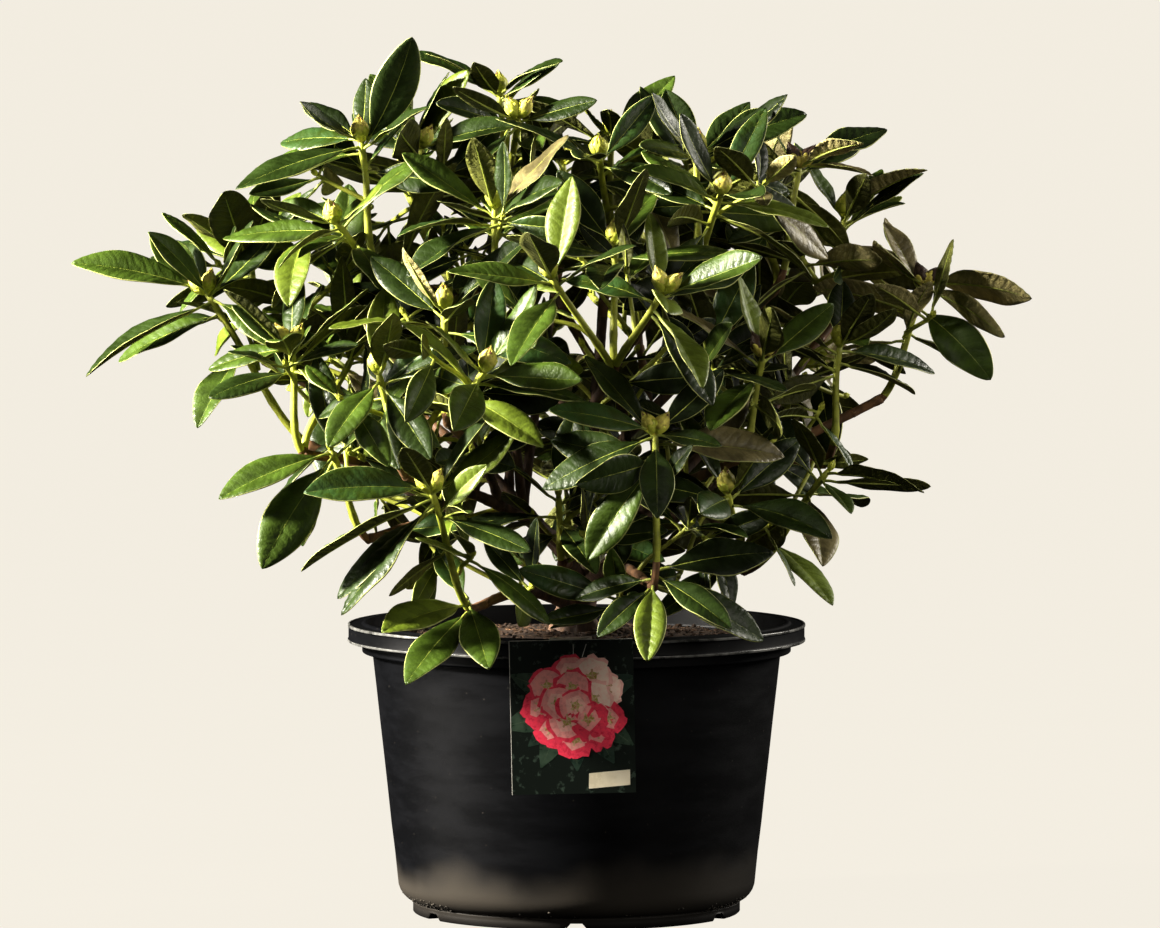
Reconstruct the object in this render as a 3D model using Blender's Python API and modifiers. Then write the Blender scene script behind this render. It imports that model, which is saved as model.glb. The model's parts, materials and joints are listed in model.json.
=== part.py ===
"""A rhododendron shrub in a black plastic nursery pot, with a picture tag on the rim.

Written for Blender 4.5. Metres, +Z up. The origin is the centre of the pot's flat underside, -Y is the
front, where the tag hangs, and +X is the right-hand side. The shrub has a short trunk that forks just above
the soil, boughs that end where they enter a mass of foliage, and one mass of shoots, leaves and flower buds
at the end of each bough.
"""

import math
import random
from collections import namedtuple

import bmesh
import bpy
from mathutils import Matrix, Vector
from mathutils.bvhtree import BVHTree

# The pot
RIM_RADIUS = 0.190
RIM_TOP = 0.240
RIM_BAND = 0.0145
LIP_RADIUS = 0.1765
LIP_RISE = 0.0015
COLLAR_RADIUS = 0.178
COLLAR_HEIGHT = 0.009
BODY_TOP_RADIUS = 0.1695
BODY_LOW_RADIUS = 0.1485
HEEL_RADIUS = 0.018
FOOT_RADIUS = 0.136
FOOT_HEIGHT = 0.009
WALL = 0.0028
FLOOR_TOP = 0.012
POT_STEPS = 32
DRAIN_COUNT = 6
DRAIN_WIDTH = 0.017
DRAIN_DEPTH = 0.0055
DRAIN_INNER_RADIUS = 0.098
DRAIN_HOLE_RADIUS = 0.006

# The soil
SOIL_EDGE = 0.2255
SOIL_MOUND = 0.0095
SEAT_GAP = 0.0003

# The picture tag
TAG_WIDTH = 0.100
TAG_HEIGHT = 0.1245
TAG_THICKNESS = 0.0009
TAG_CENTRE_X = -0.0045
TAG_TILT = math.radians(1.2)
TAB_WIDTH = 0.034
TAB_DROP = 0.011
TAB_CLEARANCE = 0.0022

# Trunk and boughs
TRUNK_HEIGHT = 0.078
TRUNK_LEAN = Vector((0.007, 0.005, 0.0))
TRUNK_SHARES = (0.0, 0.14, 0.36, 0.68, 1.0)
TRUNK_RADII = (0.0215, 0.0165, 0.0148, 0.0138, 0.0125)
PRIMARY_RADIUS = 0.0064
BOUGH_END_RADIUS = 0.0037
BOUGH_SHRINK = 0.80
BOUGH_MIN_ANGLE = math.radians(38)
BOUGH_POINTS = 5

# Shoots, leaves and buds
STEM_LENGTH = 0.022
STEM_RADIUS = 0.0034
SHOOT_RADII = (0.0030, 0.0024)
SHOOT_SPREAD = (math.radians(32), math.radians(62))
SHOOT_TRIES = 24
SHOOT_SIDES = 3
WHORL_LEAVES = 7
SIDE_WHORL_LEAVES = 6
LEAST_RANDOM_LEAVES = 3
TIP_SHARE = 0.85
OLD_LEAVES = 2
LEAF_PITCH = 0.0027
GOLDEN_TURN = math.radians(137.5)
LEAF_LENGTH = (0.076, 0.112)
LEAF_SLENDERNESS = (0.33, 0.40)
LEAF_LEAN = (math.radians(38), math.radians(98))
OLD_LEAF_LEAN = (math.radians(72), math.radians(112))
LEAF_DROOP = (math.radians(-16), math.radians(46))
LEAF_THICKNESS = 0.017
LEAST_DROOP = math.radians(2)
LEAF_TWIST = math.radians(25)
PLACED_DROOP = math.radians(24)
PLACED_CUP = math.radians(-22)
CUP_RISE = 25
PLACED_SLENDERNESS = 0.38
STALK_SHARE = 0.13
STALK_RADIUS = 0.0013
LEAF_TRIES = 9
LEAF_CLEARANCE = 0.0008
BUD_LENGTH = 0.024
BUD_RADIUS = 0.0060
TWIN_BUD_RADIUS = 0.0051
TWIN_BUD_TILT = math.radians(31)
BUD_SIDES = 4
BUD_WIDEST = 0.44

# The crown's outline, as a flat-topped ellipsoid that the shoots' tips keep to
CROWN_CENTRE = Vector((-0.01, 0.01, 0.44))
CROWN_RADII = Vector((0.315, 0.290, 0.225))
CROWN_POWER = 2.6
CROWN_FLOOR = 0.300
CROWN_FOOT = 0.175
CROWN_FLARE = 0.85
LEAF_MARGIN = Vector((0.060, 0.050, 0.025))
SPACE_OVERLAP = 0.070

SEED = 7
UP = Vector((0.0, 0.0, 1.0))
FRONT = Vector((0.0, -1.0, 0.0))

Bough = namedtuple("Bough", "parent share turn reach height shoots leader rise buds")
Shoot = namedtuple("Shoot", "start tip axis buds")
Leaf = namedtuple("Leaf", "base direction face length width droop")

# One row for each bough and the mass of foliage that it carries: its parent, the share of the parent's length
# where it leaves, the turn in degrees, reach and height of the mass's leading bud, the number of shoots in the
# mass, the leading shoot's length, how steeply it rises and its number of buds. A parent comes first.
BOUGHS = {
    "left_far": Bough("trunk", 0.42, 184, 0.307, 0.516, 1, 0.172, 0.35, 2),
    "left_front": Bough("trunk", 0.78, 227, 0.234, 0.456, 2, 0.105, 0.8, 1),
    "front_left": Bough("trunk", 0.30, 241, 0.240, 0.364, 1, 0.130, 0.6, 2),
    "front_right": Bough("trunk", 0.40, 286, 0.229, 0.411, 1, 0.125, 3.0, 2),
    "right_front": Bough("trunk", 0.74, 317, 0.207, 0.469, 2, 0.105, 0.8, 2),
    "right_far": Bough("trunk", 0.50, 0, 0.289, 0.521, 1, 0.120, 0.7, 2),
    "back_right": Bough("trunk", 0.34, 50, 0.275, 0.500, 3, 0.110, 0.6, 1),
    "back_left": Bough("trunk", 0.66, 130, 0.275, 0.500, 3, 0.110, 0.6, 2),
    "crown": Bough("trunk", 1.00, 35, 0.035, 0.644, 3, 0.110, 1.0, 1),
    "left_high": Bough("left_far", 0.66, 168, 0.280, 0.549, 2, 0.110, 1.0, 2),
    "left_mid": Bough("left_far", 0.52, 203, 0.253, 0.475, 2, 0.100, 1.2, 2),
    "left_low": Bough("left_far", 0.40, 212, 0.235, 0.391, 1, 0.095, 0.6, 0),
    "left_inner": Bough("left_front", 0.55, 238, 0.201, 0.507, 2, 0.105, 1.2, 1),
    "upper_left": Bough("left_front", 0.40, 240, 0.133, 0.588, 2, 0.105, 1.2, 1),
    "mid_front": Bough("right_front", 0.42, 281, 0.163, 0.560, 3, 0.118, 3.0, 1),
    "right_low": Bough("right_front", 0.62, 334, 0.229, 0.373, 2, 0.105, 0.6, 0),
    "right_mid": Bough("right_far", 0.52, 347, 0.222, 0.473, 1, 0.105, 1.0, 1),
    "right_high": Bough("right_far", 0.62, 20, 0.239, 0.576, 2, 0.105, 1.0, 1),
    "top_left": Bough("crown", 0.34, 180, 0.129, 0.636, 2, 0.110, 1.0, 2),
    "top_left_outer": Bough("top_left", 0.50, 193, 0.182, 0.641, 2, 0.125, 1.0, 1),
    "top_right": Bough("crown", 0.50, 321, 0.127, 0.630, 2, 0.110, 1.5, 1),
    "right_top": Bough("crown", 0.22, 12, 0.190, 0.619, 2, 0.125, 1.0, 2),
    "top_back": Bough("crown", 0.62, 137, 0.088, 0.677, 2, 0.110, 1.0, 1),
    "back_low": Bough("back_right", 0.40, 84, 0.270, 0.385, 2, 0.105, 0.6, 1),
    "back_mid": Bough("back_right", 0.52, 76, 0.215, 0.545, 2, 0.105, 0.8, 1),
    "back_far_left": Bough("back_left", 0.45, 108, 0.250, 0.480, 3, 0.105, 0.6, 1),
    "back_top": Bough("back_left", 0.36, 95, 0.130, 0.620, 2, 0.105, 1.0, 2),
    "inner_front": Bough("trunk", 0.60, 262, 0.105, 0.352, 1, 0.070, 0.6, 0),
}

# The leaves that make the crown's outline. Each has the share of the leading shoot's length where it sits, its
# turn and rise in degrees, and its length.
PLACED_LEAVES = {
    "left_far": [
        (1.00, -176, 12, 0.113), (0.93, -169, -30, 0.122), (0.84, 162, -23, 0.100), (1.00, 166, 47, 0.076),
        (0.97, 154, 37, 0.072), (0.95, -20, -28, 0.088), (0.97, 26, 43, 0.092), (0.62, -126, -45, 0.088),
        (1.00, 0, 75, 0.085),
    ],
    "left_high": [
        (1.00, 38, 51, 0.070),
    ],
    "top_left_outer": [
        (0.93, -28, 63, 0.104), (1.00, -148, 29, 0.066), (1.00, 144, -2, 0.084), (0.95, -157, -17, 0.116),
        (0.90, 164, -12, 0.098), (1.00, 85, 55, 0.062),
    ],
    "top_left": [
        (0.95, 142, 49, 0.084), (1.00, -157, 36, 0.088), (0.97, -18, 13, 0.086), (1.00, -59, 46, 0.062),
    ],
    "top_back": [
        (1.00, -55, 17, 0.096), (1.00, -112, 27, 0.062), (0.98, 180, 25, 0.088), (0.95, -27, -9, 0.074),
    ],
    "crown": [
        (1.00, -116, 27, 0.060), (1.00, 38, 36, 0.084), (0.95, -49, 33, 0.066),
    ],
    "top_right": [
        (1.00, -132, 42, 0.076), (1.00, -28, 31, 0.096), (0.97, 22, 20, 0.104), (0.98, 42, 37, 0.074),
        (0.95, -128, 9, 0.078),
    ],
    "right_top": [
        (1.00, 33, 18, 0.094), (0.98, -45, 16, 0.076), (0.95, -142, -17, 0.110),
    ],
    "right_high": [
        (1.00, -40, 24, 0.096), (0.90, 51, 16, 0.084), (0.95, -128, -42, 0.084),
    ],
    "right_far": [
        (1.00, -37, -5, 0.106), (0.97, -42, -24, 0.094), (0.80, -42, -36, 0.098), (1.00, -142, 45, 0.074),
        (0.97, 121, 44, 0.082),
    ],
    "right_mid": [
        (1.00, -45, 27, 0.070), (0.95, 32, -12, 0.098), (0.85, 38, -20, 0.086),
    ],
    "right_low": [
        (0.97, -39, -7, 0.100), (0.90, -68, -21, 0.066), (0.75, -83, -33, 0.096), (0.30, -58, -27, 0.104),
    ],
    "left_low": [
        (0.97, -158, -20, 0.104), (0.93, -142, -51, 0.114), (0.90, 119, -51, 0.096),
    ],
    "left_mid": [
        (0.97, 159, -14, 0.076), (0.75, -141, -12, 0.088),
    ],
    "left_front": [
        (0.92, -127, -37, 0.084), (0.88, -50, -42, 0.086),
    ],
    "front_left": [
        (1.00, -159, 0, 0.108), (0.93, 180, -29, 0.122), (0.90, -163, -36, 0.118), (0.86, 180, -43, 0.109),
        (0.97, 3, 37, 0.084), (0.04, -132, -9, 0.104), (0.00, -123, -30, 0.108), (0.06, -89, -45, 0.092),
        (0.10, 121, 37, 0.062),
    ],
    "front_right": [
        (1.00, -162, 12, 0.092), (0.97, 180, -25, 0.100), (0.94, -89, -45, 0.082), (0.98, -28, -7, 0.060),
        (1.00, 17, 47, 0.078), (0.80, -174, -55, 0.095), (0.92, 14, -6, 0.108), (0.04, -96, -51, 0.078),
        (0.08, -32, -29, 0.084), (0.00, 17, -26, 0.104), (0.10, 19, 7, 0.104), (0.05, 158, -15, 0.070),
        (0.00, -146, -35, 0.066),
    ],
}


def clear_scene():
    for thing in list(bpy.data.objects):
        bpy.data.objects.remove(thing, do_unlink=True)


def new_collection(name, hidden=False):
    group = bpy.data.collections.new(name)
    bpy.context.scene.collection.children.link(group)
    group.hide_render = hidden
    return group


def new_material(name, colour, roughness, metallic=0.0):
    material = bpy.data.materials.new(name)
    material.use_nodes = True
    shader = material.node_tree.nodes["Principled BSDF"]
    shader.inputs["Base Color"].default_value = (*colour, 1.0)
    shader.inputs["Roughness"].default_value = roughness
    shader.inputs["Metallic"].default_value = metallic
    return material


def mesh_object(name, mesh, material, group):
    if material:
        mesh.materials.append(material)
    thing = bpy.data.objects.new(name, mesh)
    group.objects.link(thing)
    return thing


def as_cutter(thing):
    thing.hide_render = True
    thing.display_type = "WIRE"
    return thing


def add_boolean(thing, operation, other):
    step = thing.modifiers.new(operation.lower(), "BOOLEAN")
    step.operation = operation
    step.solver = "EXACT"
    if isinstance(other, bpy.types.Collection):
        step.operand_type = "COLLECTION"
        step.collection = other
    else:
        step.object = other
    return step


def turned(name, profile, steps, material, group):
    """A solid of revolution from (radius, height) points that start and end on the axis."""
    mesh = bpy.data.meshes.new(name)
    points = [(radius, 0.0, height) for radius, height in profile]
    mesh.from_pydata(points, [(i, i + 1) for i in range(len(points) - 1)], [])
    thing = mesh_object(name, mesh, material, group)
    screw = thing.modifiers.new("turn", "SCREW")
    screw.steps = steps
    screw.render_steps = steps
    screw.use_merge_vertices = True
    screw.merge_threshold = 0.00005
    screw.use_smooth_shade = True
    return thing


def arc(centre, radius, start, end, count):
    """Points on an arc in the profile plane, from one angle to another in degrees."""
    turns = [math.radians(start + (end - start) * i / (count - 1)) for i in range(count)]
    return [(centre[0] + radius * math.cos(a), centre[1] + radius * math.sin(a)) for a in turns]


def wall_slope():
    """How much the pot's wall widens for each metre of height."""
    low = FOOT_HEIGHT + HEEL_RADIUS
    high = RIM_TOP - RIM_BAND - COLLAR_HEIGHT
    return (BODY_TOP_RADIUS - BODY_LOW_RADIUS) / (high - low)


def inner_radius(height):
    """The radius of the pot's inner wall at a height."""
    return BODY_LOW_RADIUS - WALL + wall_slope() * (height - FOOT_HEIGHT - HEEL_RADIUS)


def pot_profile():
    band_low = RIM_TOP - RIM_BAND
    collar_low = band_low - COLLAR_HEIGHT
    heel = arc((BODY_LOW_RADIUS - HEEL_RADIUS, FOOT_HEIGHT + HEEL_RADIUS), HEEL_RADIUS, 0, -78, 3)
    return [
        (0.0, FLOOR_TOP),
        (inner_radius(FLOOR_TOP) - HEEL_RADIUS * 0.6, FLOOR_TOP),
        (inner_radius(FLOOR_TOP + HEEL_RADIUS), FLOOR_TOP + HEEL_RADIUS),
        (inner_radius(collar_low), collar_low),
        (LIP_RADIUS - WALL, band_low),
        (LIP_RADIUS - WALL, RIM_TOP + LIP_RISE),
        (LIP_RADIUS, RIM_TOP + LIP_RISE),
        (RIM_RADIUS - 0.0012, RIM_TOP),
        (RIM_RADIUS, RIM_TOP - 0.0012),
        (RIM_RADIUS, band_low),
        (COLLAR_RADIUS, band_low),
        (COLLAR_RADIUS, collar_low),
        (BODY_TOP_RADIUS, collar_low),
        *heel,
        (FOOT_RADIUS, FOOT_HEIGHT),
        (FOOT_RADIUS, 0.0),
        (0.0, 0.0),
    ]


def drain_cutter(index, group):
    """One drainage channel through the foot, with the hole at its inner end."""
    turn = 2 * math.pi * (index + 0.5) / DRAIN_COUNT
    length = FOOT_RADIUS - DRAIN_INNER_RADIUS + 0.02
    shape = bmesh.new()
    bmesh.ops.create_cube(
        shape,
        size=1.0,
        matrix=Matrix.Translation((DRAIN_INNER_RADIUS + length / 2, 0, DRAIN_DEPTH / 2 - 0.005))
        @ Matrix.Diagonal((length, DRAIN_WIDTH, DRAIN_DEPTH + 0.01, 1.0)),
    )
    mesh = bpy.data.meshes.new("drain_channel")
    shape.to_mesh(mesh)
    shape.free()
    channel = as_cutter(mesh_object(f"drain_channel_{index}", mesh, None, group))
    hole_shape = bmesh.new()
    bmesh.ops.create_cone(
        hole_shape,
        cap_ends=True,
        segments=8,
        radius1=DRAIN_HOLE_RADIUS,
        radius2=DRAIN_HOLE_RADIUS,
        depth=0.03,
        matrix=Matrix.Translation((DRAIN_INNER_RADIUS + 2 * DRAIN_HOLE_RADIUS, 0, FLOOR_TOP)),
    )
    hole_mesh = bpy.data.meshes.new("drain_hole")
    hole_shape.to_mesh(hole_mesh)
    hole_shape.free()
    hole = as_cutter(mesh_object(f"drain_hole_{index}", hole_mesh, None, group))
    for cutter in (channel, hole):
        cutter.rotation_euler.z = turn
    return channel, hole


def make_pot(parts, cutters, material):
    pot = turned("pot", pot_profile(), POT_STEPS, material, parts)
    drains = bpy.data.collections.new("drains")
    cutters.children.link(drains)
    for index in range(DRAIN_COUNT):
        drain_cutter(index, drains)
    add_boolean(pot, "DIFFERENCE", drains)
    return pot


def soil_height(radius):
    """The soil's surface, a low mound round the trunk."""
    edge = inner_radius(SOIL_EDGE) - SEAT_GAP
    return SOIL_EDGE + SOIL_MOUND * (0.5 + 0.5 * math.cos(math.pi * min(radius / edge, 1.0)))


def make_soil(parts, material):
    collar_low = RIM_TOP - RIM_BAND - COLLAR_HEIGHT
    low = FLOOR_TOP + SEAT_GAP
    edge = inner_radius(collar_low) - 2 * SEAT_GAP
    top = [(edge * share, soil_height(edge * share)) for share in (0.0, 0.15, 0.55)]
    profile = [
        *top,
        (edge, SOIL_EDGE),
        (edge, collar_low),
        (inner_radius(FLOOR_TOP + HEEL_RADIUS) - 2 * SEAT_GAP, FLOOR_TOP + HEEL_RADIUS),
        (inner_radius(FLOOR_TOP) - HEEL_RADIUS * 0.6 - 3 * SEAT_GAP, low),
        (0.0, low),
    ]
    return turned("soil", profile, POT_STEPS, material, parts)


def make_tag(parts, material):
    """A printed card in front of the rim, with a folded tab that hooks over the lip."""
    face_y = -RIM_RADIUS - SEAT_GAP - TAG_THICKNESS
    top = RIM_TOP + LIP_RISE + SEAT_GAP + TAB_WIDTH / 2 * math.sin(TAG_TILT)
    tab_back = -(LIP_RADIUS - WALL) + TAB_CLEARANCE
    boxes = {
        "tag": ((TAG_WIDTH, TAG_THICKNESS, TAG_HEIGHT), (0, face_y + TAG_THICKNESS / 2, top - TAG_HEIGHT / 2)),
        "tag_fold": (
            (TAB_WIDTH, tab_back - face_y + TAG_THICKNESS, TAG_THICKNESS),
            (0, (tab_back + face_y + TAG_THICKNESS) / 2, top + TAG_THICKNESS / 2),
        ),
        "tag_tab": (
            (TAB_WIDTH, TAG_THICKNESS, TAB_DROP + TAG_THICKNESS),
            (0, tab_back + TAG_THICKNESS / 2, top + TAG_THICKNESS / 2 - TAB_DROP / 2),
        ),
    }
    pieces = []
    for name, (size, place) in boxes.items():
        grown = 1.02 if name == "tag_fold" else 1.0
        shape = bmesh.new()
        bmesh.ops.create_cube(shape, size=1.0, matrix=Matrix.Diagonal((size[0] * grown, size[1], size[2], 1.0)))
        mesh = bpy.data.meshes.new(name)
        shape.to_mesh(mesh)
        shape.free()
        mesh.transform(Matrix.Translation(place))
        pieces.append(mesh_object(name, mesh, material, parts))
    tag = joined(pieces[0], pieces[1:])
    pivot = Vector((0.0, 0.0, top))
    tag.data.transform(Matrix.Translation(pivot) @ Matrix.Rotation(-TAG_TILT, 4, "Y") @ Matrix.Translation(-pivot))
    tag.data.transform(Matrix.Translation((TAG_CENTRE_X, 0.0, 0.0)))
    return tag


def joined(first, others):
    """Joins overlapping meshes into one closed body, and removes the loose ones."""
    pile = bpy.data.collections.new("pile")
    bpy.context.scene.collection.children.link(pile)
    for other in others:
        for home in list(other.users_collection):
            home.objects.unlink(other)
        pile.objects.link(other)
    add_boolean(first, "UNION", pile)
    graph = bpy.context.evaluated_depsgraph_get()
    mesh = bpy.data.meshes.new_from_object(first.evaluated_get(graph))
    first.modifiers.clear()
    first.data = mesh
    for other in others:
        bpy.data.objects.remove(other, do_unlink=True)
    bpy.data.collections.remove(pile)
    return first


def limb_curve(name, points, radii, extra, group):
    """A tapering tube along the points, as a mesh with closed ends."""
    curve = bpy.data.curves.new(name, "CURVE")
    curve.dimensions = "3D"
    curve.bevel_depth = 1.0
    curve.bevel_resolution = 1
    curve.use_fill_caps = True
    spline = curve.splines.new("POLY")
    spline.points.add(len(points) - 1)
    for point, place, radius in zip(spline.points, points, radii):
        point.co = (*place, 1.0)
        point.radius = radius + extra
    tube = bpy.data.objects.new(name + "_tube", curve)
    group.objects.link(tube)
    graph = bpy.context.evaluated_depsgraph_get()
    mesh = bpy.data.meshes.new_from_object(tube.evaluated_get(graph))
    bpy.data.objects.remove(tube, do_unlink=True)
    shape = bmesh.new()
    shape.from_mesh(mesh)
    bmesh.ops.remove_doubles(shape, verts=shape.verts, dist=0.00001)
    bmesh.ops.recalc_face_normals(shape, faces=shape.faces)
    shape.to_mesh(mesh)
    shape.free()
    return mesh


def along(points, share):
    """The point and the direction at a share of a line's length."""
    place = max(0.0, min(share, 1.0)) * (len(points) - 1)
    index = min(int(place), len(points) - 2)
    first = points[index]
    second = points[index + 1]
    return first.lerp(second, place - index), (second - first).normalized()


def trunk_axis():
    """The trunk's centre line, upright where it meets the soil and leaning above its flare."""
    foot = Vector((0.0, 0.0, soil_height(0.0) + SEAT_GAP))
    return [foot + UP * TRUNK_HEIGHT * s + TRUNK_LEAN * max(0.0, s - TRUNK_SHARES[1]) for s in TRUNK_SHARES]


def hub_of(row):
    turn = math.radians(row.turn)
    return Vector((row.reach * math.cos(turn), row.reach * math.sin(turn), row.height))


def bough_axis(start, heading, hub, leader, rise):
    """A smooth limb from its parent's axis to the place where it enters its mass."""
    toward = ((hub - start).normalized() + UP * rise).normalized()
    end = hub - toward * leader
    span = (end - start).length
    middle = start + heading * span * 0.5
    points = []
    for i in range(BOUGH_POINTS):
        t = i / (BOUGH_POINTS - 1)
        points.append(start * (1 - t) ** 2 + middle * 2 * t * (1 - t) + end * t**2)
    return points


def parting(parent_heading, outward):
    """The direction in which a bough leaves its parent, never too close to the parent's own."""
    side = outward - parent_heading * outward.dot(parent_heading)
    side = side.normalized() if side.length > 0.05 else parent_heading.cross(UP).normalized()
    angle = max(parent_heading.angle(outward), BOUGH_MIN_ANGLE)
    return parent_heading * math.cos(angle) + side * math.sin(angle)


def limb_axes():
    """The centre lines and radii of the trunk and every bough."""
    limbs = {"trunk": (trunk_axis(), TRUNK_RADII)}
    for name, row in BOUGHS.items():
        parent_points, parent_radii = limbs[row.parent]
        start, parent_heading = along(parent_points, row.share)
        parent_radius = parent_radii[0] + (parent_radii[-1] - parent_radii[0]) * row.share
        first_radius = min(PRIMARY_RADIUS, parent_radius * BOUGH_SHRINK)
        hub = hub_of(row)
        if row.share >= 1.0:
            heading = parent_heading
            start = start + heading * SEAT_GAP
        else:
            heading = parting(parent_heading, (hub - start).normalized())
        points = bough_axis(start, heading, hub, row.leader, row.rise)
        count = len(points) - 1
        radii = [first_radius + (BOUGH_END_RADIUS - first_radius) * i / count for i in range(count + 1)]
        limbs[name] = (points, radii)
    return limbs


def make_limbs(limbs, parts, cutters, material):
    """The trunk and the boughs. Each bough is cut to sit a hair clear of the limb it grows from."""
    made = {}
    parents = {row.parent for row in BOUGHS.values() if row.share < 1.0}
    sleeves = {}
    for name, (points, radii) in limbs.items():
        label = name if name == "trunk" else "bough_" + name
        mesh = limb_curve(label, points, radii, 0.0, parts)
        made[name] = mesh_object(label, mesh, material, parts)
        if name in parents:
            sleeve = limb_curve(label + "_sleeve", points, radii, SEAT_GAP * 1.3, cutters)
            sleeves[name] = as_cutter(mesh_object(label + "_sleeve", sleeve, None, cutters))
    for name, row in BOUGHS.items():
        if row.share < 1.0:
            add_boolean(made[name], "DIFFERENCE", sleeves[row.parent])
    return made


def ring(centre, radius, axis, sides, spin=0.0):
    """Points on a circle round an axis."""
    across = axis.orthogonal().normalized()
    over = axis.cross(across)
    turns = [spin + 2 * math.pi * i / sides for i in range(sides)]
    return [centre + (across * math.cos(a) + over * math.sin(a)) * radius for a in turns]


def skin(rings):
    """Points and faces of a closed loft through rings of like size. A ring of one point is a tip."""
    points = [place for ring_points in rings for place in ring_points]
    faces = []
    start = 0
    sides = max(len(ring_points) for ring_points in rings)
    if len(rings[0]) > 1:
        faces.append(tuple(reversed(range(sides))))
    for near, far in zip(rings, rings[1:]):
        after = start + len(near)
        for i in range(sides):
            j = (i + 1) % sides
            if len(far) == 1:
                faces.append((start + i, start + j, after))
            elif len(near) == 1:
                faces.append((start, after + j, after + i))
            else:
                faces.append((start + i, start + j, after + j))
                faces.append((start + i, after + j, after + i))
        start = after
    if len(rings[-1]) > 1:
        faces.append(tuple(start + i for i in range(sides)))
    return points, faces


def twig_skin(start, end, radii, sides, extra=0.0):
    axis = (end - start).normalized()
    return skin([
        ring(start - axis * extra, radii[0] + extra, axis, sides),
        ring(end + axis * extra, radii[1] + extra, axis, sides),
    ])


def bud_skin(bud, extra=0.0):
    base, axis, radius = bud
    return skin([
        [base - axis * 0.002],
        ring(base + axis * BUD_LENGTH * BUD_WIDEST, radius + extra, axis, BUD_SIDES),
        [base + axis * (BUD_LENGTH + extra)],
    ])


def leaf_point(leaf, share):
    """The midrib's place, direction and upper face at a share of the leaf's length."""
    bend = leaf.droop * share
    heading = leaf.direction * math.cos(bend) - leaf.face * math.sin(bend)
    face = leaf.face * math.cos(bend) + leaf.direction * math.sin(bend)
    scale = leaf.length / leaf.droop
    place = leaf.base + (leaf.direction * math.sin(bend) - leaf.face * (1 - math.cos(bend))) * scale
    return place, heading, face


def leaf_section(leaf, share, half_width, keel, extra):
    place, heading, face = leaf_point(leaf, share)
    side = face.cross(heading)
    lift = face * (0.12 * half_width)
    return [
        place + side * (half_width + extra) + lift,
        place - side * (half_width + extra) + lift,
        place - face * (keel + extra),
    ]


def leaf_skin(leaf, whole=True, extra=0.0):
    """A leaf as a thin closed loft: a stalk, two broad sections and a tip. The stalk's first part can be left out."""
    keel = leaf.length * LEAF_THICKNESS
    tip, heading, _ = leaf_point(leaf, 1.0)
    rings = [
        leaf_section(leaf, STALK_SHARE, STALK_RADIUS, STALK_RADIUS, extra),
        leaf_section(leaf, 0.40, leaf.width * 0.45, keel, extra),
        leaf_section(leaf, 0.74, leaf.width * 0.43, keel * 0.8, extra),
        [tip + heading * extra],
    ]
    if whole:
        rings.insert(0, [leaf.base - leaf.direction * SHOOT_RADII[1] * 0.4])
    return skin(rings)


class Grown:
    """Everything grown so far. The growing rule asks it whether a new piece would touch anything."""

    def __init__(self):
        self.items = []

    def add(self, solid, owner):
        points, faces = solid
        centre = sum(points, Vector()) / len(points)
        radius = max((p - centre).length for p in points)
        tree = BVHTree.FromPolygons(points, faces)
        self.items.append((centre, radius, tree, owner))

    def touches(self, solid, skip=None):
        points, faces = solid
        centre = sum(points, Vector()) / len(points)
        radius = max((p - centre).length for p in points)
        tree = None
        for other_centre, other_radius, other_tree, owner in self.items:
            if skip is not None and owner == skip:
                continue
            if (centre - other_centre).length > radius + other_radius:
                continue
            tree = tree or BVHTree.FromPolygons(points, faces)
            if tree.overlap(other_tree):
                return True
        return False


def planted(limbs):
    """The pot, the tag and the limbs, which no shoot or leaf may touch."""
    grown = Grown()
    low = Vector((0.0, 0.0, 0.02))
    high = Vector((0.0, 0.0, RIM_TOP + LIP_RISE + 0.001))
    grown.add(twig_skin(low, high, (RIM_RADIUS + 0.002, RIM_RADIUS + 0.002), POT_STEPS), "pot")
    front = Vector((TAG_CENTRE_X, -RIM_RADIUS - 0.0015, RIM_TOP + 0.003))
    reach = TAG_WIDTH * 0.5 + 0.004
    near = [front + Vector((x, y, 0.0)) for x, y in ((-reach, 0.003), (reach, 0.003), (reach, -0.003), (-reach, -0.003))]
    far = [p - UP * (TAG_HEIGHT + 0.006) for p in near]
    grown.add(skin([far, near]), "tag")
    for name, (points, radii) in limbs.items():
        for i in range(len(points) - 1):
            solid = twig_skin(points[i], points[i + 1], radii[i : i + 2], 6, 0.0009)
            grown.add(solid, "bough_" + name)
    return grown


def in_crown(place, margin=Vector()):
    """Whether a place lies inside the crown, which narrows towards the pot's rim."""
    off = place - CROWN_CENTRE
    total = sum(abs(part / radius) ** CROWN_POWER for part, radius in zip(off, CROWN_RADII + margin))
    reach = math.hypot(place.x, place.y)
    return total < 1.0 and reach < CROWN_FOOT + margin.x + CROWN_FLARE * (place.z - RIM_TOP)


def tilted(axis, lean, spin):
    """A direction that leans from an axis, turned round it."""
    across = axis.orthogonal().normalized()
    over = axis.cross(across)
    side = across * math.cos(spin) + over * math.sin(spin)
    return (axis * math.cos(lean) + side * math.sin(lean)).normalized(), side


def buds_at(tip, axis, count):
    """One upright flower bud, or two that lean apart."""
    if count < 2:
        return [(tip, axis, BUD_RADIUS)] * count
    across = axis.cross(FRONT).normalized()
    pair = []
    for way in (-1, 1):
        lean = (axis * math.cos(TWIN_BUD_TILT) + across * way * math.sin(TWIN_BUD_TILT)).normalized()
        pair.append((tip - axis * 0.001, lean, TWIN_BUD_RADIUS))
    return pair


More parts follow.
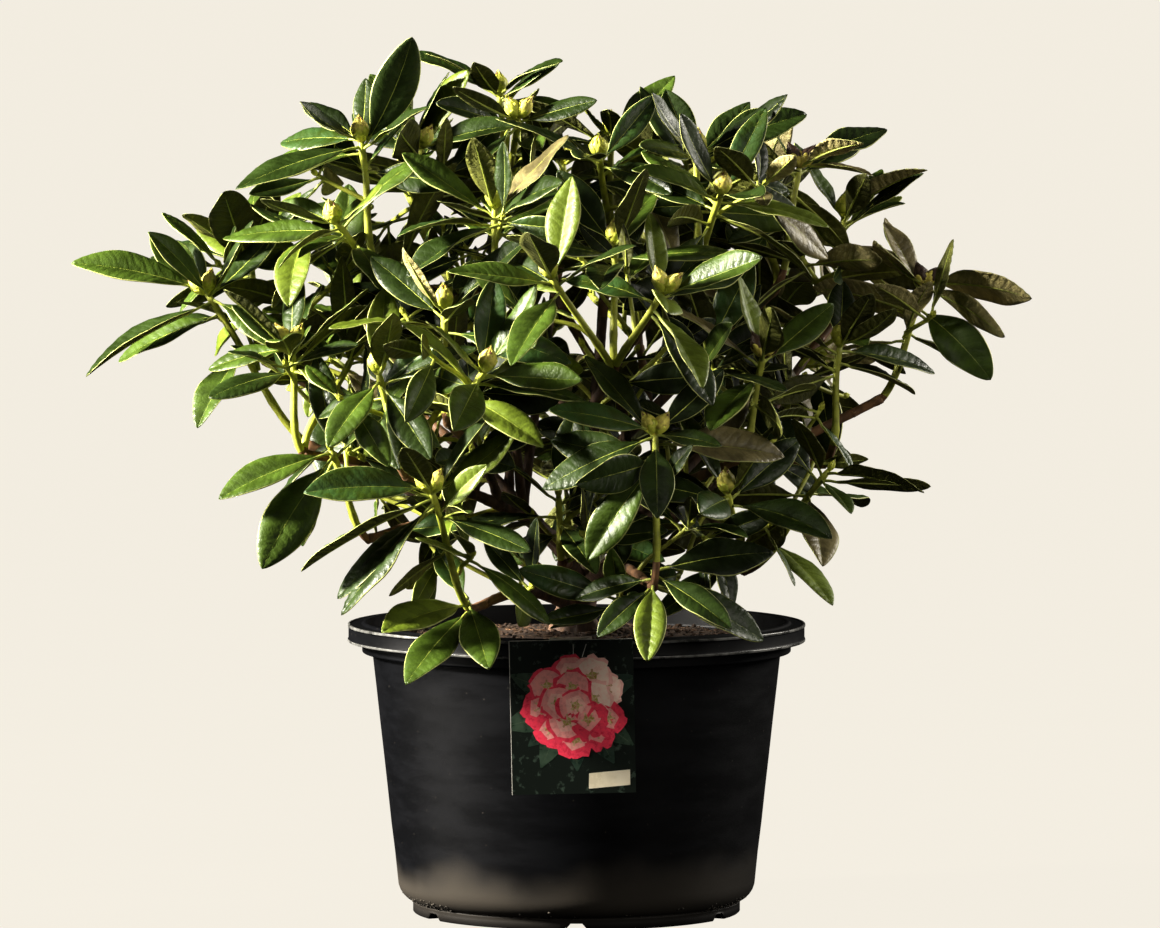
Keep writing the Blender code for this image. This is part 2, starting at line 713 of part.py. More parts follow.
def grow_shoots(limbs, grown):
    """The stem and the shoots of every mass. The leader goes to its own place, the rest fill the crown."""
    masses = {}
    tips = []
    for name, row in BOUGHS.items():
        points = limbs[name][0]
        heading = (points[-1] - points[-2]).normalized()
        foot = points[-1] + heading * SEAT_GAP
        node = foot + heading * STEM_LENGTH
        hub = hub_of(row)
        masses[name] = {"foot": foot, "node": node, "heading": heading, "shoots": []}
        grown.add(twig_skin(foot, node, (STEM_RADIUS, STEM_RADIUS), 6, 0.0006), name)
        add_shoot(masses[name], node, hub, row.buds, grown, name)
        tips.append(hub)
    for name, row in BOUGHS.items():
        mass = masses[name]
        rng = random.Random(f"{SEED} shoots {name}")
        leader = (mass["shoots"][0].tip - mass["node"]).normalized()
        for _ in range(row.shoots - 1):
            best = None
            for _ in range(SHOOT_TRIES):
                way = tilted(leader, rng.uniform(*SHOOT_SPREAD), rng.uniform(0, 2 * math.pi))[0]
                way = (way + UP * 0.15).normalized()
                tip = mass["node"] + way * row.leader * rng.uniform(0.72, 1.0)
                if tip.z < CROWN_FLOOR or not in_crown(tip):
                    continue
                solid = twig_skin(mass["node"] + way * 0.012, tip, SHOOT_RADII, 6, 0.001)
                if grown.touches(solid):
                    continue
                room = min((tip - other).length for other in tips)
                if best is None or room > best[0]:
                    best = (room, tip)
            if best:
                bud_count = rng.choices((0, 1, 2), weights=(2, 5, 2))[0]
                add_shoot(mass, mass["node"], best[1], bud_count, grown, name)
                tips.append(best[1])
    return masses


def add_shoot(mass, node, tip, bud_count, grown, name):
    way = (tip - node).normalized()
    axis = (way + UP * 0.35).normalized()
    buds = buds_at(tip, (axis + UP * 0.5).normalized(), bud_count)
    mass["shoots"].append(Shoot(node, tip, axis, buds))
    grown.add(twig_skin(node + way * 0.006, tip, SHOOT_RADII, 6, 0.0006), name)
    for bud in buds:
        grown.add(bud_skin(bud, 0.0008), name)


def curved_leaf(base, chord, light, length, slenderness, droop):
    """A leaf whose ends lie a length apart along a direction, with its upper face turned to the light."""
    face = (light - chord * light.dot(chord)).normalized()
    half = droop / 2 if abs(droop) > LEAST_DROOP else LEAST_DROOP / 2
    direction = chord * math.cos(half) + face * math.sin(half)
    upper = face * math.cos(half) - chord * math.sin(half)
    return Leaf(base, direction, upper, length * half / math.sin(half), length * slenderness, 2 * half)


def outward_from_axis(place):
    flat = Vector((place.x, place.y, 0.0))
    return flat.normalized() if flat.length > 0.01 else FRONT


def placed_leaf(shoot, row, rng, loose):
    """A leaf of the table of placed leaves."""
    share, turn, rise, length = row
    base = shoot.start.lerp(shoot.tip, share)
    turn = math.radians(turn) + rng.uniform(-loose, loose)
    rise = math.radians(rise) + rng.uniform(-loose, loose)
    chord = Vector((math.cos(turn) * math.cos(rise), math.sin(turn) * math.cos(rise), math.sin(rise)))
    light = UP * 0.8 + FRONT * 0.5 + outward_from_axis(base) * 0.3
    droop = PLACED_CUP if row[2] > CUP_RISE else PLACED_DROOP
    return curved_leaf(base, chord, light, length, PLACED_SLENDERNESS, droop)


def whorl_leaf(shoot_axis, base, spin, lean, share, rng, loose, shrink):
    """A leaf of a whorl, which leans from its shoot by an angle."""
    chord, side = tilted(shoot_axis, lean + rng.uniform(-loose, loose), spin + rng.uniform(-loose, loose))
    light = UP * 0.5 + outward_from_axis(base) * 0.4 + shoot_axis * 0.4
    light = Matrix.Rotation(rng.uniform(-LEAF_TWIST, LEAF_TWIST), 3, chord) @ light
    length = mixed(LEAF_LENGTH, min(1.0, share * 0.7 + rng.uniform(0, 0.4))) * shrink
    droop = mixed(LEAF_DROOP, min(1.0, share * 0.6 + rng.uniform(0, 0.4)))
    return curved_leaf(base, chord, light, length, rng.uniform(*LEAF_SLENDERNESS), droop)


def own_space(name, tip, masses):
    """Whether a leaf's tip lies in the space of its own mass, and not deep in another's."""
    own = min((tip - shoot.tip).length for shoot in masses[name]["shoots"])
    for other, mass in masses.items():
        if other == name:
            continue
        if min((tip - shoot.tip).length for shoot in mass["shoots"]) < own - SPACE_OVERLAP:
            return False
    return True


def mixed(pair, share):
    return pair[0] + (pair[1] - pair[0]) * share


def fitted(name, leaf, placed, masses, grown):
    """Whether a leaf stays in its own space and touches nothing but its own shoot."""
    tip = leaf_point(leaf, 1.0)[0]
    if not placed and not (own_space(name, tip, masses) and in_crown(tip, LEAF_MARGIN)):
        return False
    if grown.touches(leaf_skin(leaf, False, LEAF_CLEARANCE)):
        return False
    return not grown.touches(leaf_skin(leaf, True, LEAF_CLEARANCE), skip=name)


def grow_leaves(masses, grown):
    """The placed leaves, then a whorl below each bud, then older leaves round each mass's stem.

    The whorls fill up together, leaf by leaf. A leaf that touches something is tried at other angles, and then
    skipped.
    """
    dice = {name: random.Random(f"{SEED} leaves {name}") for name in masses}
    leaves = {name: [] for name in masses}
    wanted = {
        name: [WHORL_LEAVES] + [SIDE_WHORL_LEAVES] * (len(mass["shoots"]) - 1) for name, mass in masses.items()
    }

    def grow(name, make, placed=False):
        for attempt in range(LEAF_TRIES):
            leaf = make(0.05 * attempt, 1 - 0.03 * attempt)
            if fitted(name, leaf, placed, masses, grown):
                grown.add(leaf_skin(leaf), name)
                leaves[name].append(leaf)
                return True
        return False

    for name, rows in PLACED_LEAVES.items():
        shoot = masses[name]["shoots"][0]
        rng = dice[name]
        for row in rows:
            if grow(name, lambda loose, _: placed_leaf(shoot, row, rng, loose), True) and row[0] > TIP_SHARE:
                wanted[name][0] = max(LEAST_RANDOM_LEAVES, wanted[name][0] - 1)
    first_spins = {name: [dice[name].uniform(0, 2 * math.pi) for _ in mass["shoots"]] for name, mass in masses.items()}
    for i in range(WHORL_LEAVES):
        share = i / (WHORL_LEAVES - 1)
        for name, mass in masses.items():
            rng = dice[name]
            for shoot, first_spin, count in zip(mass["shoots"], first_spins[name], wanted[name]):
                if i >= count:
                    continue
                way = (shoot.tip - shoot.start).normalized()
                base = shoot.tip - way * (0.003 + LEAF_PITCH * i)
                spin = first_spin + GOLDEN_TURN * i
                lean = mixed(LEAF_LEAN, share)
                axis = shoot.axis
                grow(name, lambda loose, shrink: whorl_leaf(axis, base, spin, lean, share, rng, 0.1 + loose, shrink))
    for i in range(OLD_LEAVES):
        for name, mass in masses.items():
            rng = dice[name]
            base = mass["foot"] + mass["heading"] * (0.005 + 0.0042 * i)
            spin = GOLDEN_TURN * i + first_spins[name][0]
            lean = mixed(OLD_LEAF_LEAN, rng.random())
            axis = mass["heading"]
            grow(name, lambda loose, shrink: whorl_leaf(axis, base, spin, lean, 0.8, rng, 0.1 + loose, shrink))
    return leaves


def solid_object(name, solid, material, group):
    points, faces = solid
    mesh = bpy.data.meshes.new(name)
    mesh.from_pydata([tuple(p) for p in points], [], faces)
    return mesh_object(name, mesh, material, group)


def make_mass(name, mass, leaves, material, parts):
    """One mass: its stem, shoots, buds and leaves fused into one body."""
    label = "mass_" + name
    stem = solid_object(
        label,
        twig_skin(mass["foot"], mass["node"], (STEM_RADIUS, STEM_RADIUS * 0.95), SHOOT_SIDES),
        material,
        parts,
    )
    pieces = []
    for shoot in mass["shoots"]:
        way = (shoot.tip - shoot.start).normalized()
        twig = twig_skin(shoot.start - way * 0.0035, shoot.tip, SHOOT_RADII, SHOOT_SIDES)
        pieces.append(solid_object("shoot", twig, material, parts))
        for bud in shoot.buds:
            pieces.append(solid_object("bud", bud_skin(bud), material, parts))
    for leaf in leaves:
        pieces.append(solid_object("leaf", leaf_skin(leaf), material, parts))
    return joined(stem, pieces)


def main():
    clear_scene()
    parts = new_collection("potted_rhododendron")
    cutters = new_collection("cutters", hidden=True)
    plastic = new_material("pot_plastic", (0.012, 0.012, 0.015), 0.45)
    earth = new_material("soil", (0.030, 0.018, 0.010), 0.95)
    bark = new_material("bark", (0.16, 0.085, 0.05), 0.85)
    foliage = new_material("foliage", (0.06, 0.14, 0.03), 0.40)
    card = new_material("tag_card", (0.30, 0.12, 0.13), 0.30)
    make_pot(parts, cutters, plastic)
    make_soil(parts, earth)
    make_tag(parts, card)
    limbs = limb_axes()
    make_limbs(limbs, parts, cutters, bark)
    grown = planted(limbs)
    masses = grow_shoots(limbs, grown)
    leaves = grow_leaves(masses, grown)
    for name, mass in masses.items():
        make_mass(name, mass, leaves[name], foliage, parts)


main()
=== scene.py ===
"""The looks of a rhododendron shrub in a nursery pot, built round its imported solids.

Laid out as a Blender 4.5 add-on and run as a script. Metres, +Z up, -Y to the front. The growing rule of
the solids is written again here and carried to finer twigs, more leaves and scaly buds in the same crown.
"""

import json
import random
from collections import namedtuple
from functools import lru_cache
from math import ceil, cos, exp, hypot, pi, radians, sin, sqrt, tau

import bpy
import numpy as np
from bpy.props import FloatProperty, FloatVectorProperty, IntProperty, PointerProperty
from mathutils import Matrix, Vector, noise
from mathutils.bvhtree import BVHTree

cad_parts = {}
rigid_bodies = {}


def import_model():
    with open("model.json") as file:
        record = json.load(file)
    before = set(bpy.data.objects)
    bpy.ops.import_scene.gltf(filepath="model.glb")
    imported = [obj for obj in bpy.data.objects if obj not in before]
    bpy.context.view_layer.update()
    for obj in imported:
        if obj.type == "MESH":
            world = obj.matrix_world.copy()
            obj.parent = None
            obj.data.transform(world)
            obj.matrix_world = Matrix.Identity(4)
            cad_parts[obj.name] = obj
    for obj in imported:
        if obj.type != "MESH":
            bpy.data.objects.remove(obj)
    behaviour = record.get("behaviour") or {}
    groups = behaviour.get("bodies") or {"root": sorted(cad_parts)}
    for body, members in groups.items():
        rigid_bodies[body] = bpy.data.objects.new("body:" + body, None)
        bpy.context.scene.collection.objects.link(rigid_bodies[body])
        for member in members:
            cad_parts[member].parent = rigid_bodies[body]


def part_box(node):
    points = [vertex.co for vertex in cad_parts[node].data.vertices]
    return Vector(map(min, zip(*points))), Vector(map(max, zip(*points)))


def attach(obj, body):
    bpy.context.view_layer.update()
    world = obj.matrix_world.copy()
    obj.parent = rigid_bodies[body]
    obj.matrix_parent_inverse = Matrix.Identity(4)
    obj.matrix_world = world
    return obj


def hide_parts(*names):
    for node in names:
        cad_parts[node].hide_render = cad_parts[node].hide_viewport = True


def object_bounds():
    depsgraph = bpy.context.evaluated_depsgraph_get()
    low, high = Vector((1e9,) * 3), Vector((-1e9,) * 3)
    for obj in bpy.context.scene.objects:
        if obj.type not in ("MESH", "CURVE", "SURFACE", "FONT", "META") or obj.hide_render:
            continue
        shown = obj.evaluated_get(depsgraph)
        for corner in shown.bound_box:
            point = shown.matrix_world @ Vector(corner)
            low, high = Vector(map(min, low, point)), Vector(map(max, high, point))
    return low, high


bl_info = {
    "name": "Potted Rhododendron",
    "version": (1, 0, 0),
    "blender": (4, 5, 0),
    "location": "3D View > Sidebar > Shrub",
    "description": "Builds a rhododendron shrub in a nursery pot round its packed solids",
    "category": "Add Mesh",
}

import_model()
SOLIDS_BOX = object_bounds()
SOIL_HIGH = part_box("soil")[1]

# The pot
RIM_RADIUS = 0.190
RIM_TOP = 0.240
RIM_BAND = 0.0145
LIP_RADIUS = 0.1765
LIP_RISE = 0.0015
COLLAR_RADIUS = 0.178
COLLAR_HEIGHT = 0.009
BODY_TOP_RADIUS = 0.1695
BODY_LOW_RADIUS = 0.1485
HEEL_RADIUS = 0.018
FOOT_RADIUS = 0.136
FOOT_HEIGHT = 0.009
WALL = 0.0028
FLOOR_TOP = 0.012
POT_SIDES = 32
DRAIN_COUNT = 6
DRAIN_WIDTH = 0.017
DRAIN_DEPTH = 0.0055
DRAIN_INNER_RADIUS = 0.098

# The soil
SOIL_EDGE = 0.2255
SOIL_MOUND = 0.0095
SEAT_GAP = 0.0003
SOIL_RINGS = 58

# The picture tag
TAG_WIDTH = 0.100
TAG_HEIGHT = 0.1245
TAG_THICKNESS = 0.0009
TAG_CENTRE_X = -0.0045
TAG_TILT = radians(1.2)
TAB_WIDTH = 0.034
TAB_DROP = 0.011
TAB_CLEARANCE = 0.0022

# Trunk and boughs
TRUNK_HEIGHT = 0.078
TRUNK_LEAN = Vector((0.007, 0.005, 0.0))
TRUNK_SHARES = (0.0, 0.14, 0.36, 0.68, 1.0)
TRUNK_RADII = (0.0215, 0.0165, 0.0148, 0.0138, 0.0125)
PRIMARY_RADIUS = 0.0064
BOUGH_END_RADIUS = 0.0037
BOUGH_SHRINK = 0.80
BOUGH_MIN_ANGLE = radians(38)
BOUGH_SPANS = 4

# Shoots, leaves and buds
STEM_LENGTH = 0.022
STEM_RADIUS = 0.0034
SHOOT_RADII = (0.0030, 0.0024)
SHOOT_SPREAD = (radians(32), radians(62))
SHOOT_TRIES = 24
WHORL_LEAVES = 7
SIDE_WHORL_LEAVES = 6
OLD_LEAVES = 2
LEAST_RANDOM_LEAVES = 3
TIP_SHARE = 0.85
LEAF_PITCH = 0.0027
GOLDEN_TURN = radians(137.5)
LEAF_LENGTH = (0.076, 0.112)
LEAF_SLENDERNESS = (0.33, 0.40)
LEAF_LEAN = (radians(38), radians(98))
OLD_LEAF_LEAN = (radians(72), radians(112))
LEAF_DROOP = (radians(-16), radians(46))
LEAF_THICKNESS = 0.017
LEAST_DROOP = radians(2)
LEAF_TWIST = radians(25)
PLACED_DROOP = radians(24)
PLACED_CUP = radians(-22)
CUP_RISE = 25
PLACED_SLENDERNESS = 0.38
STALK_SHARE = 0.13
STALK_RADIUS = 0.0013
LEAF_TRIES = 9
LEAF_CLEARANCE = 0.0008
BUD_LENGTH = 0.024
BUD_RADIUS = 0.0060
TWIN_BUD_RADIUS = 0.0051
TWIN_BUD_TILT = radians(31)
BUD_SIDES = 4
BUD_WIDEST = 0.44

# The crown's outline, as a flat-topped ellipsoid that the shoots' tips keep to
CROWN_CENTRE = Vector((-0.01, 0.01, 0.44))
CROWN_RADII = Vector((0.315, 0.290, 0.225))
CROWN_POWER = 2.6
CROWN_FLOOR = 0.300
CROWN_FOOT = 0.175
CROWN_FLARE = 0.85
LEAF_MARGIN = Vector((0.060, 0.050, 0.025))
SPACE_OVERLAP = 0.070

# Growth that is finer than the solids. It keeps a margin inside their box and out of the gaps with sky.
TWIG_LENGTH = (0.038, 0.066)
TWIG_RADII = (0.0021, 0.0017)
TWIG_TRIES = 10
TWIG_BUD_LENGTH = 0.010
BUD_SWELL = 1.26
FINE_TWIST = radians(65)
AIMED_LENGTH = (0.045, 0.125)
USUAL_LENGTH = 0.090
AIM_TRIES = 60
AIM_LOOSENESS = 0.035
AIM_SHARES = (1.0, 0.95, 0.9, 0.84, 0.76)
BOX_MARGIN = 0.003
SEEN_SHARES = (0.35, 0.6, 0.8, 1.0)
RIB_PLACES = (0.4, 0.6, 0.8)
LEAF_PIECES = 5

# Parts of the crown with their own tints, which paint light and shade: darker greens deep inside, above
# DARK_ABOVE and low in the middle and on the right as painted shade, fresher greens low on the left as
# painted light, and on the shaded right side brownish leaves made brighter as painted light, with buds
# painted darker as painted shade.
# There the leaves also turn their undersides forward.
SHADED_SIDE_FROM = 0.13
FAR_FROM = 0.235
SHADED_TURN = radians(70)
DARK_ABOVE = 0.575
LOW_BELOW = 0.44
LOW_LEFT_OF = -0.08
INNER_SHARE = 0.70

# The backdrop, a round floor that bends up into a wall
STAGE_RADIUS = 15.0
STAGE_BEND = 3.0
STAGE_HEIGHT = 17.0
STAGE_DROP = 0.0002
STAGE_THICKNESS = 0.1
CAMERA_PITCH = radians(90 - 3.49)
# Each lamp's place and size. Its name is also that of the setting with its power.
LAMPS = (
    ("key", (-3.15, -0.74, 1.70), 0.50),
    ("top", (-0.7, -1.3, 3.5), 1.0),
    ("side", (-2.5, -0.2, 0.40), 0.9),
    ("back", (3.0, 1.5, 1.5), 1.2),
    ("fill", (2.3, -2.1, 1.2), 1.8),
)

COAT_ROUGHNESS = 0.30
SEED = 7
UP = Vector((0.0, 0.0, 1.0))
FRONT = Vector((0.0, -1.0, 0.0))
EYE = Vector((0.0029, -6.0, 0.738))

Bough = namedtuple("Bough", "parent share turn reach height shoots leader rise buds")
Shoot = namedtuple("Shoot", "start tip axis buds")
Leaf = namedtuple("Leaf", "base direction face length width droop")
Mass = namedtuple("Mass", "foot node heading shoots")
TwigRule = namedtuple("TwigRule", "shares spread rise foot floor lift")
SIDE_TWIGS = TwigRule((0.30, 0.62), (radians(34), radians(64)), 0.2, 0.008, CROWN_FLOOR, 0.35)
INNER_TWIGS = TwigRule((0.45, 0.92), (0.7, 1.3), 0.25, 0.012, 0.262, 0.3)

# Where the photo shows sky between the leaves, as circles in the plane through the pot's axis seen by the
# camera: the middle across and up and the radius, in millimetres. Only the growth that is finer than the
# solids keeps out.
SKY_GAPS = [[part / 1000 for part in gap] for gap in (
    (-258, 407, 28), (-274, 448, 12), (-189, 448, 12), (-204, 531, 7), (-178, 508, 6), (245, 432, 20),
    (256, 400, 20), (233, 402, 12), (289, 573, 20), (236, 564, 12), (197, 599, 8), (270, 479, 10),
    (-61, 460, 7), (-111, 404, 7), (-47, 357, 7), (-63, 334, 7), (-24, 342, 10), (-92, 284, 12),
    (-159, 288, 17), (181, 311, 12), (156, 276, 10), (-212, 363, 10), (94, 280, 10), (-312, 478, 13),
    (11, 680, 10), (53, 677, 10), (104, 670, 12), (200, 651, 13), (181, 457, 8), (-229, 620, 7),
    (313, 483, 8), (245, 330, 20), (226, 280, 12), (-231, 392, 15), (-345, 467, 10), (-1, 483, 14),
    (29, 477, 17), (57, 483, 14), (-12, 510, 9), (76, 429, 12), (19, 508, 12), (293, 550, 10),
    (239, 292, 12), (289, 461, 10), (310, 490, 8), (263, 484, 8), (240, 554, 8), (219, 326, 10),
    (-46, 355, 8), (-186, 333, 8), (199, 592, 8), (-272, 443, 8), (-328, 454, 12), (-331, 420, 12),
    (231, 418, 8), (182, 504, 8), (249, 450, 8), (274, 518, 7), (249, 430, 7), (211, 559, 6),
    (225, 496, 6), (195, 454, 6), (273, 477, 6),
)]
# Tips of single leaves that the photo shows on the crown's outline and the solids leave out, each with its
# mass, in millimetres.
AIMED_TIPS = (
    ("top_left_outer", -226, 0, 671), ("top_left_outer", -220, 30, 648), ("top_back", -14, 30, 704),
    ("top_back", -126, 30, 712), ("top_left", -105, 20, 697), ("left_far", -352, -50, 566),
    ("left_high", -288, 30, 598), ("left_high", -320, 90, 567), ("right_top", 247, 30, 610),
    ("right_high", 290, 50, 612), ("right_high", 276, 80, 586), ("right_far", 255, 20, 572),
    ("back_left", -122, 100, 259), ("top_left", -82, 40, 701), ("crown", 53, 50, 683),
    ("left_high", -296, -30, 602), ("top_back", -28, 0, 700), ("back_left", -200, 80, 300),
    ("right_low", 236, 0, 336), ("top_left", -132, 10, 700),
)
# One row for each bough and the mass of foliage that it carries: its name, its parent, the share of the
# parent's length where it leaves, the turn in degrees, reach and height of the mass's leading bud, how many
# shoots it has, the leading shoot's length, how steeply it rises and its number of buds. Parents come first.
BOUGHS = {name: Bough(*row) for name, *row in (
    ("left_far", "trunk", 0.42, 184, 0.307, 0.516, 1, 0.172, 0.35, 2),
    ("left_front", "trunk", 0.78, 227, 0.234, 0.456, 2, 0.105, 0.8, 1),
    ("front_left", "trunk", 0.30, 241, 0.240, 0.364, 1, 0.130, 0.6, 2),
    ("front_right", "trunk", 0.40, 286, 0.229, 0.411, 1, 0.125, 3.0, 2),
    ("right_front", "trunk", 0.74, 317, 0.207, 0.469, 2, 0.105, 0.8, 2),
    ("right_far", "trunk", 0.50, 0, 0.289, 0.521, 1, 0.120, 0.7, 2),
    ("back_right", "trunk", 0.34, 50, 0.275, 0.500, 3, 0.110, 0.6, 1),
    ("back_left", "trunk", 0.66, 130, 0.275, 0.500, 3, 0.110, 0.6, 2),
    ("crown", "trunk", 1.00, 35, 0.035, 0.644, 3, 0.110, 1.0, 1),
    ("left_high", "left_far", 0.66, 168, 0.280, 0.549, 2, 0.110, 1.0, 2),
    ("left_mid", "left_far", 0.52, 203, 0.253, 0.475, 2, 0.100, 1.2, 2),
    ("left_low", "left_far", 0.40, 212, 0.235, 0.391, 1, 0.095, 0.6, 0),
    ("left_inner", "left_front", 0.55, 238, 0.201, 0.507, 2, 0.105, 1.2, 1),
    ("upper_left", "left_front", 0.40, 240, 0.133, 0.588, 2, 0.105, 1.2, 1),
    ("mid_front", "right_front", 0.42, 281, 0.163, 0.560, 3, 0.118, 3.0, 1),
    ("right_low", "right_front", 0.62, 334, 0.229, 0.373, 2, 0.105, 0.6, 0),
    ("right_mid", "right_far", 0.52, 347, 0.222, 0.473, 1, 0.105, 1.0, 1),
    ("right_high", "right_far", 0.62, 20, 0.239, 0.576, 2, 0.105, 1.0, 1),
    ("top_left", "crown", 0.34, 180, 0.129, 0.636, 2, 0.110, 1.0, 2),
    ("top_left_outer", "top_left", 0.50, 193, 0.182, 0.641, 2, 0.125, 1.0, 1),
    ("top_right", "crown", 0.50, 321, 0.127, 0.630, 2, 0.110, 1.5, 1),
    ("right_top", "crown", 0.22, 12, 0.190, 0.619, 2, 0.125, 1.0, 2),
    ("top_back", "crown", 0.62, 137, 0.088, 0.677, 2, 0.110, 1.0, 1),
    ("back_low", "back_right", 0.40, 84, 0.270, 0.385, 2, 0.105, 0.6, 1),
    ("back_mid", "back_right", 0.52, 76, 0.215, 0.545, 2, 0.105, 0.8, 1),
    ("back_far_left", "back_left", 0.45, 108, 0.250, 0.480, 3, 0.105, 0.6, 1),
    ("back_top", "back_left", 0.36, 95, 0.130, 0.620, 2, 0.105, 1.0, 2),
    ("inner_front", "trunk", 0.60, 262, 0.105, 0.352, 1, 0.070, 0.6, 0),
)}
# The leaves of the crown's outline: where each sits in percent of the leading shoot's length, its turn
# and rise in degrees, and its length in millimetres.
PLACED_LEAVES = {
    "left_far": (
        (100, -176, 12, 113), (93, -169, -30, 122), (84, 162, -23, 100), (100, 166, 47, 76),
        (97, 154, 37, 72), (95, -20, -28, 88), (97, 26, 43, 92), (62, -126, -45, 88), (100, 0, 75, 85),
    ),
    "left_high": ((100, 38, 51, 70),),
    "top_left_outer": (
        (93, -28, 63, 104), (100, -148, 29, 66), (100, 144, -2, 84), (95, -157, -17, 116),
        (90, 164, -12, 98), (100, 85, 55, 62),
    ),
    "top_left": ((95, 142, 49, 84), (100, -157, 36, 88), (97, -18, 13, 86), (100, -59, 46, 62)),
    "top_back": ((100, -55, 17, 96), (100, -112, 27, 62), (98, 180, 25, 88), (95, -27, -9, 74)),
    "crown": ((100, -116, 27, 60), (100, 38, 36, 84), (95, -49, 33, 66)),
    "top_right": (
        (100, -132, 42, 76), (100, -28, 31, 96), (97, 22, 20, 104), (98, 42, 37, 74), (95, -128, 9, 78),
    ),
    "right_top": ((100, 33, 18, 94), (98, -45, 16, 76), (95, -142, -17, 110)),
    "right_high": ((100, -40, 24, 96), (90, 51, 16, 84), (95, -128, -42, 84)),
    "right_far": (
        (100, -37, -5, 106), (97, -42, -24, 94), (80, -42, -36, 98), (100, -142, 45, 74),
        (97, 121, 44, 82),
    ),
    "right_mid": ((100, -45, 27, 70), (95, 32, -12, 98), (85, 38, -20, 86)),
    "right_low": ((97, -39, -7, 100), (90, -68, -21, 66), (75, -83, -33, 96), (30, -58, -27, 104)),
    "left_low": ((97, -158, -20, 104), (93, -142, -51, 114), (90, 119, -51, 96)),
    "left_mid": ((97, 159, -14, 76), (75, -141, -12, 88)),
    "left_front": ((92, -127, -37, 84), (88, -50, -42, 86)),
    "front_left": (
        (100, -159, 0, 108), (93, 180, -29, 122), (90, -163, -36, 118), (86, 180, -43, 109),
        (97, 3, 37, 84), (4, -132, -9, 104), (0, -123, -30, 108), (6, -89, -45, 92), (10, 121, 37, 62),
    ),
    "front_right": (
        (100, -162, 12, 92), (97, 180, -25, 100), (94, -89, -45, 82), (98, -28, -7, 60),
        (100, 17, 47, 78), (80, -174, -55, 95), (92, 14, -6, 108), (4, -96, -51, 78), (8, -32, -29, 84),
        (0, 17, -26, 104), (10, 19, 7, 104), (5, 158, -15, 70), (0, -146, -35, 66),
    ),
}


def mixed(pair, share):
    """The value at a share of the way from the first of some values to the last."""
    return pair[0] + (pair[-1] - pair[0]) * share


def graded(first, last, count):
    """Values in even steps."""
    return [first + (last - first) * i / count for i in range(count + 1)]


def bezier(start, middle, end, t):
    return start * (1 - t) ** 2 + middle * 2 * t * (1 - t) + end * t**2


def round_pot(turn, radius, height):
    """A place at a turn, a distance and a height about the pot's axis."""
    return Vector((radius * cos(turn), radius * sin(turn), height))


def around(axis, turn):
    """The direction at a turn round an axis."""
    across = axis.orthogonal().normalized()
    return across * cos(turn) + axis.cross(across) * sin(turn)


def tilted(axis, lean, spin):
    """A direction that leans from an axis, turned round it."""
    return (axis * cos(lean) + around(axis, spin) * sin(lean)).normalized()


def along(points, share):
    """The point and the direction at a share of a line's length."""
    place = max(0.0, min(share, 1.0)) * (len(points) - 1)
    index = min(int(place), len(points) - 2)
    first, second = points[index : index + 2]
    return first.lerp(second, place - index), (second - first).normalized()


def inner_radius(height):
    """The radius of the pot's inner wall at a height."""
    rise = RIM_TOP - RIM_BAND - COLLAR_HEIGHT - (FOOT_HEIGHT + HEEL_RADIUS)
    slope = (BODY_TOP_RADIUS - BODY_LOW_RADIUS) / rise
    return BODY_LOW_RADIUS - WALL + slope * (height - FOOT_HEIGHT - HEEL_RADIUS)


def soil_height(radius):
    """The soil's surface, a low mound round the trunk."""
    edge = inner_radius(SOIL_EDGE) - SEAT_GAP
    return SOIL_EDGE + SOIL_MOUND * (0.5 + 0.5 * cos(pi * min(radius / edge, 1.0)))


def trunk_point(share):
    """The trunk's centre line, upright where it meets the soil and leaning above its flare."""
    foot = Vector((0.0, 0.0, soil_height(0.0) + SEAT_GAP))
    return foot + UP * TRUNK_HEIGHT * share + TRUNK_LEAN * max(0.0, share - TRUNK_SHARES[1])


def bough_axis(start, heading, hub, row):
    """A smooth limb from its parent's axis to the place where it enters its mass."""
    toward = ((hub - start).normalized() + UP * row.rise).normalized()
    end = hub - toward * row.leader
    middle = start + heading * (end - start).length * 0.5
    return [bezier(start, middle, end, i / BOUGH_SPANS) for i in range(BOUGH_SPANS + 1)]


def parting(parent_heading, outward):
    """The direction in which a bough leaves its parent, never too close to the parent's own."""
    side = outward - parent_heading * outward.dot(parent_heading)
    side = side.normalized() if side.length > 0.05 else parent_heading.cross(UP).normalized()
    angle = max(parent_heading.angle(outward), BOUGH_MIN_ANGLE)
    return parent_heading * cos(angle) + side * sin(angle)


def limb_axes():
    """The centre lines and radii of the trunk and every bough."""
    limbs = {"trunk": ([trunk_point(share) for share in TRUNK_SHARES], TRUNK_RADII)}
    for name, row in BOUGHS.items():
        points, radii = limbs[row.parent]
        start, heading = along(points, row.share)
        first_radius = min(PRIMARY_RADIUS, mixed(radii, row.share) * BOUGH_SHRINK)
        hub = hub_of(row)
        if row.share >= 1.0:
            start = start + heading * SEAT_GAP
        else:
            heading = parting(heading, (hub - start).normalized())
        radii = graded(first_radius, BOUGH_END_RADIUS, BOUGH_SPANS)
        limbs[name] = (bough_axis(start, heading, hub, row), radii)
    return limbs


def hub_of(row):
    """The place of a mass's leading bud."""
    return round_pot(radians(row.turn), row.reach, row.height)


def ring(centre, radius, axis, sides):
    """Points on a circle round an axis."""
    return [centre + around(axis, tau * i / sides) * radius for i in range(sides)]


